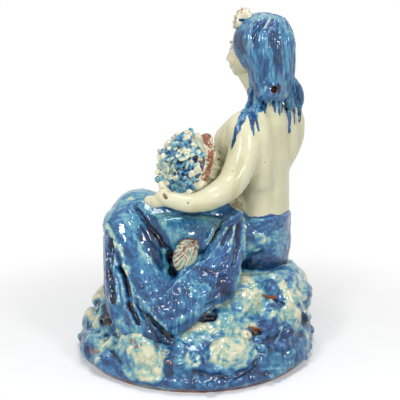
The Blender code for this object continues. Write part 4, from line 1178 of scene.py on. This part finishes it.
# pooled glaze and painted shade: more in the hollows, and along the strokes below
pool = np.clip(0.35 - 0.16 * stand, 0, 1) + 0.10 * swell(places, 12, 2.0)
POOLS_AND_SHADE = [  # where the glaze pools, and painted shade along the creases of the arm, the flank and the spine: share, half width and pixels
    (0.72, 3.0, [(240, 160), (238, 180), (234, 196)]),
    (0.60, 2.6, [(256, 176), (249, 192), (242, 206)]), (0.62, 2.6, [(288, 120), (289, 150)]),
    (0.55, 2.6, [(272, 160), (272, 205)]), (0.60, 3.0, [(196, 208), (216, 206)]),
]
pool = brushed(pool, places, tree, POOLS_AND_SHADE)
DIRT_AND_SHADE = [  # painted shade under the elbow and in the hand's crease, and brown in the pits and at the tips of thumb and fingers: share, half width and pixels
    (0.62, 2.6, [(226, 208), (240, 205)]), (0.62, 1.6, [(236, 200), (243, 212)]),
    (0.85, 1.5, [(164, 195), (166, 198)]), (0.40, 1.2, [(161, 188), (164, 188)]),
    (0.36, 1.2, [(151, 199), (152, 203)]), (0.70, 0.9, [(188, 203)]), (0.66, 0.8, [(265, 163)]),
    (0.60, 0.8, [(232, 171)]),
]
dirt = brushed(np.zeros(len(places)), places, tree, DIRT_AND_SHADE)
LONG_STRAND = [(251, 92), (248, 104), (244, 114), (240, 123), (236.5, 132)]
LONG_STRAND += [(234, 140), (232.5, 148)]
HAIR_ENDS = [  # strokes of the hair's glaze that run out on her back: half widths and places
    ((3.6, 0.9), LONG_STRAND),
    ((5.0, 4.2), [(257, 90), (255, 100), (252, 109)]),
    ((5.0, 3.6), [(262, 88), (260, 98), (257, 110)]),
    ((3.2, 1.2), [(252, 106), (250, 115), (250, 124)]),
    ((3.0, 1.0), [(255, 106), (255, 118), (258, 130)]),
    ((2.0, 0.7), [(253, 114), (252, 125), (253, 135)]),
    ((3.2, 0.9), [(262, 100), (264, 107), (264, 113)]),
    ((3.6, 0.8), [(273, 92), (273.5, 102), (275, 112)]),
    ((3.6, 0.8), [(278, 92), (278, 104), (279, 115)]),
    ((3.2, 0.8), [(282, 92), (282, 104), (281, 112)]),
    ((4.6, 2.8), [(286, 90), (286, 102), (287, 112)]),
    ((3.0, 1.8), [(287, 104), (288, 118), (288.5, 131)]),
    ((3.0, 1.0), [(292, 92), (293, 108), (294, 124)]),
    ((3.6, 1.6), [(297, 92), (299, 104), (299, 120)]),
]
on_back = uneven(places)
by_brush = wandering(places, 1.0, 4.0)
strands = np.zeros(len(places))
for reach, pixels in HAIR_ENDS:
    share = away_from(by_brush, traced(tree, pixels), reach)
    strands = np.maximum(strands, np.clip(1.5 - share, 0, 1))
reshape(body, places + facing * (0.8 * np.clip(2 * strands, 0, 1))[:, None])
strand_tone = 0.38 + 0.2 * swell(on_back, 6, 5.0) + 0.1 * swell(places, 3, 1.0)
STRAND_TONES = [  # tone, half width and pixels of each stroke
    (0.68, 1.4, [(264, 92), (260, 100), (256, 112), (258, 118)]),
    (0.60, 1.4, [(249, 106), (244, 116), (240, 124)]), (0.18, 1.2, [(236, 136), (234, 147)]),
    (0.24, 1.2, [(251, 118), (257, 130)]), (0.56, 1.2, [(262, 98), (260, 106)]),
    (0.06, 1.4, [(298, 108), (299, 119)]), (0.60, 1.0, [(288, 104), (289, 116)]),
    (0.16, 1.2, [(285, 100), (286, 110)]), (0.60, 1.4, [(274, 98), (275, 108)]),
]
strand_tone = brushed(strand_tone, on_back, tree, STRAND_TONES)
wave = 0.7 * np.sin(places[:, 0] / 4.1) + 0.4 * np.sin(places[:, 0] / 2.3)
waist_line = on_body(-5.2).z + wave  # where the tail's blue ends on her skin
blue = np.clip(1.0 - np.abs(places[:, 2] - waist_line) / 3.0, 0, 1)
away = places - np.array(HEAD)
left, front, up = (away @ np.array(axis) for axis in HEAD_AXES)
on_face = front > 17


def dab(at_left, at_up, wide, tall):
    """A touch of the brush on the face, the same on both sides."""
    reach = np.hypot((np.abs(left) - at_left) / wide, (up - at_up) / tall)
    return np.clip(1.5 - reach, 0, 1) * on_face


brow_line = dab(7.6, 1.6, 5.0, 0.9)
lash_line = np.clip(dab(7.6, -3.4, 3.9, 0.55), 0, 1)
iris = dab(7.4, -4.6, 1.1, 1.2)
white_eye = dab(7.6, -4.7, 3.0, 1.1)
lip = dab(0, -17.2, 4.2, 1.7)
cheek = 0.4 * dab(9.5, -12, 5, 4)
flow = places * MM * 1.6
flow[:, 2] *= 0.15
noted(body, pool=pool, dirt=dirt, blue=np.maximum(blue, iris), lip=lip, cheek=cheek)
noted(body, brown=np.maximum(brow_line, lash_line), white=white_eye)

ivory = bpy.data.materials.new("clear ivory glaze")
ivory.use_nodes = True
tree = ivory.node_tree
shader = tree.nodes["Principled BSDF"]


def laid_over(tree, under, colour, share, low, high):
    """A colour laid over the one under it, where share passes from low to high."""
    mask = eased(tree, share, low, high)
    mix = {"data_type": "RGBA"}
    return wired(tree, "ShaderNodeMix", mix, _0=mask, _6=under, _7=colour).outputs[2]


where = wired(tree, "ShaderNodeTexCoord").outputs["Object"]
cloudy, fine, dents = (
    wired(tree, "ShaderNodeTexNoise", None, Vector=where, Scale=scale, Detail=detail).outputs["Fac"]
    for scale, detail in ((70.0, 4.0), (480.0, 3.0), (150.0, 2.0))
)
pooled = maths(tree, "MULTIPLY_ADD", cloudy, 0.5, value_of(tree, "pool"))
# the ivory, and the darker yellow-green of pooled glaze and of painted shade
skin = laid_over(tree, srgb(220, 217, 186), srgb(188, 185, 142), pooled, 0.4, 1.25)
ragged = maths(tree, "SUBTRACT", fine, 0.5)
strand_amounts = {"Blotch": 0.2, "Streak": 0.8, "Comb": 1.0, "Rust": -0.1, "Hue": 0.5, "Bare": 0.0}
strand_paint = paint_of(tree, **strand_amounts).outputs["Color"]
LAYERS = [  # the value noted, its colour, how ragged its edge is, and where it comes in
    ("cheek", srgb(214, 160, 124), 0.2, 0.0, 1.6),
    # brown of the painted shade under the elbow and in the hand's crease, and of the pits and
    # finger tips
    ("dirt", srgb(112, 66, 40), 0.9, 0.25, 0.9),
    ("white", srgb(238, 234, 216), 0.1, 0.3, 0.6),
    ("blue", srgb(44, 82, 142), 0.8, 0.35, 0.6),
    ("lip", srgb(176, 92, 70), 0.2, 0.35, 0.8),
    ("brown", srgb(74, 46, 40), 0.3, 0.4, 0.7),
    ("strands", strand_paint, 0.5, 0.3, 0.5),
]
for name, colour, spread, low, high in LAYERS:
    mask = maths(tree, "MULTIPLY_ADD", ragged, spread, value_of(tree, name))
    skin = laid_over(tree, skin, colour, mask, low, high)
tree.links.new(skin, shader.inputs["Base Color"])
bump = wired(tree, "ShaderNodeBump", None, Height=dents, Distance=BUMP_DEPTH, Strength=0.28)
tree.links.new(bump.outputs[0], shader.inputs["Normal"])
polished(shader, roughness=0.35, specular=0.2, coat=0.4, coat_roughness=0.18)
finished(body, ivory, strands=strands, tone=strand_tone, flow=flow)

# Hair. A cap of clay over the skull that falls to the shoulders, laid with long rolls for the
# locks and combed with a tool; it has a lobe on the right shoulder and a round hole at the nape.
LOCK_COUNT = 26
LOCK_STEPS = 9
LOCK_ROOT = 24.4  # where the locks start, up from the head's middle
BORE_PLACE = HEAD + mm(8.2, -27, -35.5)  # the hole at the nape, by which the head was vented
BORE_RADII = (0.0026, 0.0034)
BORE_DEPTH = 0.022
WINDOWS = [  # what is cut free of hair: the place on the head, and the half axes
    ((0, 30, -15), (17, 21, 25)),  # the face
    ((0, 21, -36), (12, 17, 20)),  # the throat
]
FALL = [  # height from the head's middle, backward, half width, half depth
    (25.2, 0, 1, 1),
    (22.8, 0.2, 9.6, 10.4),
    (19.0, 0.2, 14.8, 16),
    (13.4, 0, 19.2, 21),
    (7, 0, 21.9, 24),
    (0, 0.8, 22.8, 24.6),
    (-8, 3.2, 22.2, 22.4),
    (-15, 6.2, 20.8, 19.6),
    (-25, 7.6, 18.6, 17.4),
    (-31, 8.6, 18.6, 16),
    (-36, 10, 20.5, 14),
    (-40.5, 11.2, 22, 11),
    (-44.5, 11.6, 20, 7),
]


def on_fall(up, turn, sunk=0.0):
    """A place on the hair, up from the head's middle and this far round from its back."""
    levels = [-row[0] for row in FALL]
    behind, wide, deep = (np.interp(-up, levels, [row[i] for row in FALL]) for i in (1, 2, 3))
    return on_head(
        (wide - sunk) * sin(turn),
        -behind - (deep - sunk) * cos(turn),
        up - (sunk if up > 20 else 0),
    )


skin_tree = carrier(body)
cap = ball(HEAD, [half - 1.4 for half in SKULL], HEAD_AXES, 48)
sections = [
    (on_head(0, -behind, up), HEAD_LEFT * wide, HEAD_FRONT * deep)
    for up, behind, wide, deep in FALL[5:]
]
fall = loft(sections, 64, 40)
lumps = [cap, fall]
locks = []
for n in range(LOCK_COUNT):
    turn = radians(-106 + 212 * n / (LOCK_COUNT - 1))
    sway = 0.12 * sin(2.7 * n)
    low = -45 + 4 * sin(1.9 * n)
    if abs(turn) > radians(84):
        low = -33 + 4 * sin(1.9 * n)
    path = []
    for k in range(LOCK_STEPS):
        s = k / (LOCK_STEPS - 1)
        up = LOCK_ROOT + (low - LOCK_ROOT) * s**1.15
        around = turn * (0.35 + 0.65 * min(1, 2.2 * s + 0.2)) + sway * sin(3.2 * s + n)
        path.append(on_fall(up, around, 1.5))
    radius = 2.6 + 0.8 * sin(3.3 * n)
    locks.append(path)
    radii = [radius * 0.7] + [radius] * (LOCK_STEPS - 3) + [radius * 0.75, 0.4]
    lumps.append(roll(path, radii, 12))
STROKES = [  # locks that stand clear of the rest, from root to tip, and how thick
    ([(253, 80), (252, 90), (249, 101), (245, 111), (241, 120)], 3.2),
    ([(257, 86), (257, 98), (254, 112)], 3.4),
    ([(262, 88), (261, 98), (259, 108)], 3.0),
    ([(286, 88), (287, 99), (288, 112)], 2.8),
    ([(292, 86), (294, 98), (294, 110)], 2.6),
    ([(297, 92), (299, 104), (299, 119)], 2.4),
]
stroke_lines = []
for pixels, thick in STROKES:
    line = [sent(skin_tree, u, v) for u, v in pixels]
    line = [place + facing * 0.1 for place, facing in line]
    stroke_lines.append(line)
    last = len(line) - 1
    lumps.append(roll(line, [thick * (1 - 0.62 * k / last) for k in range(last + 1)], 12))
lobe = [mm(73, 5, 225), mm(80.5, 9, 217.5), mm(85, 14, 208), mm(87, 19, 198.5)]
stroke_lines.append(lobe)
lumps.append(roll(lobe, [4.0, 4.6, 4.0, 1.0], 16))
lumps.append(roll([mm(68, 6, 222), mm(74, 10, 212), mm(78, 15, 203)], [4, 5.4, 4.6], 16))
hair = pressed_together("hair", lumps, 0.6, 1)
for place, halves in WINDOWS:
    cut(hair, ball(on_head(*place), halves, HEAD_AXES, 32))
deselect()
bpy.ops.mesh.primitive_cone_add(
    vertices=24, radius1=BORE_RADII[0], radius2=BORE_RADII[1], depth=BORE_DEPTH
)
bore = bpy.context.object
bore.data.transform(Matrix.Translation(BORE_PLACE * MM) @ Matrix.Rotation(pi / 2, 4, "X"))
cut(hair, bore)



def down_the_hair(places):
    """Places pressed together along the fall, so that noise by them runs down the hair."""
    pressed = wandering(places, 2.0, 14.0) * 1.5
    pressed[:, 2] *= 0.13
    return pressed


places, facing = clay_of(hair)
combed = down_the_hair(places)
in_bore = np.hypot(places[:, 0] - BORE_PLACE.x, places[:, 2] - BORE_PLACE.z) < 3.2
in_bore &= places[:, 1] < 20
lift = (0.5 * swell(combed, 3.4, 4.0) + 0.3 * swell(combed, 1.8, 9.0)) * ~in_bore
reshape(hair, places + facing * lift[:, None])
HAIR_MARKS = [  # height, half width and pixels of each ridge or groove
    (-1.6, 1.2, [(295, 83), (298, 94), (299, 106)]),
    (-1.2, 1.1, [(290, 80), (291, 92), (291, 104)]), (0.9, 0.9, [(249, 27), (253, 22), (258, 20)]),
    (0.9, 0.8, [(256, 28), (260, 22), (264, 20)]), (0.9, 0.8, [(264, 28), (268, 22), (270, 19)]),
    (0.9, 0.8, [(272, 29), (275, 24), (276, 19)]), (0.8, 0.8, [(281, 34), (280, 26), (277, 20)]),
    (0.8, 0.8, [(257, 100), (261, 94), (266, 89)]), (1.0, 1.0, [(270, 95), (274, 97), (278, 95)]),
]
worked(hair, HAIR_MARKS)
places, facing, tree, stand = ready_to_paint(hair, 8)
nearest = np.full(len(places), 1e9)
tint = np.zeros(len(places))
for n, path in enumerate(locks + stroke_lines):
    reach = away_from(places, path, 6.0)
    closer = reach < nearest
    nearest[closer] = reach[closer]
    tint[closer] = sin(12.9898 * n + 4.1) * 43758.5453 % 1
tone = 0.40 + 0.12 * tint + 0.16 * swell(places, 9, 3.0)
HAIR_TONES = [  # tone, half width and pixels of each stroke
    # the light strokes on the crown's ridges are painted highlights
    (0.70, 3.4, [(255, 18), (264, 15), (272, 17)]), (0.78, 1.0, [(249, 27), (253, 22), (258, 20)]),
    (0.80, 0.9, [(264, 28), (268, 22), (270, 19)]), (0.16, 0.9, [(254, 29), (257, 24), (261, 21)]),
    (0.14, 0.9, [(268, 30), (272, 24), (273, 20)]), (0.18, 0.9, [(261, 28), (264, 24)]),
    (0.60, 3.4, [(276, 17), (284, 23), (290, 34)]), (0.56, 3.0, [(237, 27), (246, 26)]),
    (0.20, 4.0, [(235, 33), (238, 44)]), (0.22, 3.4, [(240, 36), (243, 50)]),
    (0.20, 3.4, [(273, 36), (277, 48), (279, 62)]), (0.28, 2.4, [(254, 36), (257, 46)]),
    (0.56, 3.0, [(248, 36), (252, 60), (257, 76)]), (0.54, 2.4, [(262, 34), (266, 56), (270, 76)]),
    (0.55, 3.4, [(284, 40), (286, 70)]), (0.30, 2.2, [(266, 62), (266, 74)]),
    (0.24, 2.4, [(255, 86), (257, 92)]), (0.62, 1.6, [(258, 98), (262, 92), (266, 88)]),
    (0.08, 1.6, [(270, 86), (278, 86), (279, 92)]), (0.60, 1.6, [(285, 84), (286, 98)]),
    (0.28, 3.0, [(299, 88), (304, 102)]),
]
tone = brushed(tone, wandering(places, 1.5, 5.0), tree, HAIR_TONES)
tone += np.clip(0.24 * stand, -0.26, 0.14)
rust = 0.16 * swell(places, 7, 15.0)
HAIR_RUST = [  # rust, half width and pixels of each stroke
    (0.46, 0.8, [(280, 56), (280, 63)]), (0.48, 0.9, [(280, 72), (281, 88)]),
    (0.44, 0.8, [(253, 40), (253, 50)]), (0.50, 1.0, [(257, 92), (258, 95)]),
]
rust = brushed(rust, places, tree, HAIR_RUST)
rust = np.where(in_bore, 0.54, rust)
tone = np.where(in_bore, 0.12, tone)
hue = 0.495 + 0.016 * swell(places, 8, 6.0)
hue = brushed(hue, places, tree, [(0.51, 5, [(252, 22), (262, 19), (272, 24)])])
hair_glaze = glaze("hair glaze", blotch=0.14, streak=0.7, ripple=0.9, comb=2.0, Bare=0.0)
finished(hair, hair_glaze, tone=tone, rust=rust, hue=hue, flow=down_the_hair(places) * MM)

# Shell on her head. A small fan of clay with eight ribs, set over the brow, cream with a dusty
# pink rim; it darkens towards its foot, where a dark navy line is painted as the shadow under it.
shell_seat = on_head(9, 12, 18)
SHELL_TIPS = [(-7.4, -4.4), (-7.6, -0.6), (-6.6, 3.2), (-4.4, 7.2)]
SHELL_TIPS += [(-1, 9.8), (2.8, 9), (5.8, 5.8), (8, 1.6)]
lumps = [ball(shell_seat + mm(0, 3, 2), (7.5, 5.5, 7.5))]
for across, up in SHELL_TIPS:
    hinge = shell_seat + mm(across * 0.2, 1, -2)
    middle = shell_seat + mm(across * 0.62, -1.8, up * 0.55)
    tip = shell_seat + mm(across * 0.93, 1, up * 0.93)
    lumps.append(roll([hinge, middle, tip], [2.6, 3.0, 2.3], 14))
crest = pressed_together("head_shell", lumps, 0.5, 2)
places, facing, tree, stand = ready_to_paint(crest, 8)
rise = places[:, 2] - shell_seat.z
tone = 1.02 + np.clip(0.2 * stand, -0.25, 0.0) - 0.1 * np.clip((-1 - rise) / 3, 0, 1)
# painted shadow: a dark navy line along the shell's foot
tone = brushed(tone, places, tree, [(0.08, 0.9, [(240, 20), (245, 20.5), (251, 19)])])
rust = 0.14 - 0.6 * np.clip(stand, -0.4, 0.2)
HEAD_SHELL_RUST = [  # rust, half width and pixels of each stroke
    (0.52, 1.5, [(234, 26), (236, 15), (240, 7.5), (245, 5.5)]),
    (0.56, 0.9, [(242, 10), (241, 13)]), (0.54, 0.8, [(254, 12), (255, 18)]),
]
rust = brushed(rust, places, tree, HEAD_SHELL_RUST)
shell_glaze = glaze("shell glaze", blotch=0.12, streak=0.1, ripple=0.4, Hue=0.48, Bare=0.0)
finished(crest, shell_glaze, tone=tone, rust=rust, flow=places * MM)

# Basket. A cup of clay squeezed to an oval and pressed with ribs, whose lip is pinched into
# petals; it is cream glaze over a rust slip that shows on the petals, with painted shade in
# brown down the cup's right side and along its bottom.
BASKET_RADIUS = 25
BASKET_DEPTH = 33
BASKET_OVAL = (0.84, 0.94)  # how much it is squeezed, to the side and over its mouth
RIB_COUNT = 18
PETAL_COUNT = 13
LIP_LUMPS = ((50, 28.4), (36, 26.8), (20, 25.8))  # bigger petals: degrees and radius
basket_side = UP.cross(BASKET_AXIS).normalized()
basket_over = BASKET_AXIS.cross(basket_side)


def on_basket(turn, radius, out):
    """A place round the basket's axis, out from its mouth; the cup is squeezed to an oval."""
    arm = basket_side * BASKET_OVAL[0] * cos(turn) + basket_over * BASKET_OVAL[1] * sin(turn)
    return BASKET_MOUTH + arm * radius + BASKET_AXIS * out


# share of the depth, and radius there
CUP = [(1.0, 13), (0.96, 19), (0.85, 23.5), (0.5, 26), (0.2, 26), (0.02, 24.5), (-0.06, 23)]
sections = [
    (
        BASKET_MOUTH - BASKET_AXIS * BASKET_DEPTH * share,
        basket_side * radius * BASKET_OVAL[0],
        basket_over * radius * BASKET_OVAL[1],
    )
    for share, radius in CUP
]
lumps = [loft(sections, 64, 30)]
for n in range(RIB_COUNT):
    turn = TURN * n / RIB_COUNT
    rib = [on_basket(turn, radius - 0.4, -BASKET_DEPTH * share) for share, radius in CUP[1:-1]]
    lumps.append(roll(rib, [1.3, 1.5, 1.8, 1.8, 1.6], 10))
for n in range(PETAL_COUNT):
    turn = TURN * (n + 0.3 + 0.16 * sin(4.7 * n)) / PETAL_COUNT
    out = (basket_side * cos(turn) + basket_over * sin(turn)).normalized()
    along = BASKET_AXIS.cross(out)
    petal = on_basket(turn, BASKET_RADIUS - 0.6 + 0.6 * sin(3.1 * n), 0)
    petal_axes = ((out + BASKET_AXIS * 0.35).normalized(), along, BASKET_AXIS)
    lumps.append(ball(petal, (4.0 + 0.4 * sin(5.3 * n), 5.4, 3.2), petal_axes, 16))
    fold = petal + out * 1.6 + along * 2.6 - BASKET_AXIS
    lumps.append(ball(fold, (2.2, 2.8, 2.2), petal_axes, 12))
for degrees, radius in LIP_LUMPS:
    lumps.append(ball(on_basket(radians(degrees), radius - 0.6, -1), (5.2, 5.4, 5.2), None, 20))
basket = pressed_together("basket", lumps, 0.7, 2)
ridges = [[(203, row), (208, row + 0.5), (213, row + 2)] for row in range(153, 170, 4)]
worked(basket, [(-0.8, 0.7, pixels) for pixels in ridges])
places, facing, tree, stand = ready_to_paint(basket, 10)
axis = np.array(BASKET_AXIS)
from_mouth = places - np.array(BASKET_MOUTH)
out = from_mouth @ axis
radial = np.linalg.norm(from_mouth - out[:, None] * axis, axis=1)
tone = 0.97 + 0.10 * swell(places, 8, 3.0) + np.clip(0.12 * stand, -0.3, 0.06)
inside = (radial < 17.5) & (out > -3)
tone = np.where(inside, 0.2, tone)
lip_rust = 0.30 + 0.3 * swell(places, 8, 5.0)
rust = np.where(out > -4, lip_rust, 0.06 - 0.4 * np.clip(stand, -0.5, 0.3))
rust = np.where(inside, 0.44, rust)
BASKET_RUST_AND_SHADE = [  # rust, half width and pixels of each stroke; the broad strokes down the cup's right side and along its bottom are painted shade
    (0.84, 2.4, [(203, 131), (208, 136)]), (0.88, 1.9, [(209, 139), (211, 148)]),
    (0.88, 2.4, [(209, 154), (210, 163), (208, 170)]), (0.90, 2.2, [(209, 171), (204, 178)]),
    (0.58, 2.6, [(158, 174), (160, 182), (168, 190)]),
    # painted shade, carried by the rust: the cup's right side and its bottom
    (0.48, 3.0, [(217, 158), (221, 170), (217, 184)]), (0.44, 3.0, [(190, 197), (205, 191)]),
    (0.10, 2.6, [(182, 192), (194, 192), (204, 184)]),
]
rust = brushed(rust, uneven(places), tree, BASKET_RUST_AND_SHADE)
basket_glaze = glaze("basket glaze", blotch=0.22, streak=0.1, ripple=0.5, Hue=0.48, Bare=0.0)
finished(basket, basket_glaze, tone=tone, rust=rust, flow=places * MM)

# Flowers. Blossoms as wide as a fingertip, of four or five pinched petals round a pit, heaped in
# the basket one by one; some are dipped blue, some left cream, and brown has run into the pits;
# the pits and the gaps between the petals are darkened as painted shade.
BLOSSOM_COUNT = 34
HEAP_RADIUS = 23
HEAP_PLACE = BASKET_MOUTH - basket_side * 3.2 + BASKET_AXIS * 0.5
BASKET_AXES = (basket_side, basket_over, BASKET_AXIS)
lumps = [ball(HEAP_PLACE - BASKET_AXIS * 3, (18, 21.5, 7), BASKET_AXES, 32)]
petals = []
tints = []
golden = pi * (3 - sqrt(5))  # the turn from one blossom to the next, which fills the heap evenly
for n in range(BLOSSOM_COUNT):
    share = sqrt((n + 0.5) / BLOSSOM_COUNT)
    arm = basket_side * 0.82 * cos(golden * n) + basket_over * sin(golden * n)
    dome = 5.4 * (1 - share**2) + 1.3 * sin(2.3 * n)
    centre = HEAP_PLACE + arm * HEAP_RADIUS * share + BASKET_AXIS * dome
    wobble = mm(sin(5.1 * n), cos(3.7 * n), sin(2.9 * n)) * 0.3
    up = (BASKET_AXIS + arm * 0.5 * share + wobble).normalized()
    side = up.orthogonal().normalized()
    other = up.cross(side)
    blue_dip = sin(7.7 * n) > -0.35
    size = 1.16 + 0.18 * sin(4.4 * n)
    count = 4 + n % 2
    for k in range(count):
        angle = TURN * k / count + n + 0.3 * sin(8.3 * n + k)
        out = side * cos(angle) + other * sin(angle)
        petal = centre + out * 2.8 * size + up * 0.9
        tilt = (out + up * (0.45 + 0.35 * sin(6.1 * n + k))).normalized()
        along = up.cross(out).normalized()
        length = (2.6 + 0.5 * sin(9.1 * n + 2 * k)) * size
        lumps.append(ball(petal, (length, 2.5 * size, 1.1), (tilt, along, tilt.cross(along)), 14))
        petals.append(petal + tilt * 0.6)
        light = sin(12.9 * (5 * n + k)) * 437.585 % 1
        tints.append(0.46 + 0.24 * light if blue_dip and light < 0.8 else 0.86 + 0.12 * light)
flowers = pressed_together("flowers", lumps, 0.45, 1)
PITS = [  # half width and pixels of the pits, which are pressed in and painted dark as their shade
    (2.0, [(195, 158), (195, 162)]), (1.6, [(198, 182)]), (1.4, [(175, 174)]), (1.4, [(183, 175)]),
    (1.3, [(191, 142)]), (1.2, [(202, 144)]), (1.2, [(179, 147)]), (1.2, [(168, 157)]),
]
worked(flowers, [(-3.0, reach * 0.8, pixels) for reach, pixels in PITS])
places, facing, tree, stand = ready_to_paint(flowers, 8)
nearest = np.full(len(places), 1e9)
tint = np.full(len(places), 0.8)
for petal, colour in zip(petals, tints):
    reach = np.linalg.norm(places - np.array(petal), axis=1)
    closer = reach < nearest
    nearest[closer] = reach[closer]
    tint[closer] = colour
# painted shade: darker in the gaps between the petals
tone = tint + 0.24 * swell(places, 5, 2.0) + np.clip(1.3 * stand, -0.8, 0.1)
tone = brushed(tone, places, tree, [(0.0, reach, pixels) for reach, pixels in PITS])
rust = 0.14 + 0.2 * swell(places, 6, 4.0) - 0.9 * np.clip(stand, -0.6, 0.2)
blossom_glaze = glaze("blossom glaze", blotch=0.45, streak=0.1, ripple=0.3, Hue=0.495, Bare=0.0)
finished(flowers, blossom_glaze, tone=tone, rust=rust, flow=places * MM)
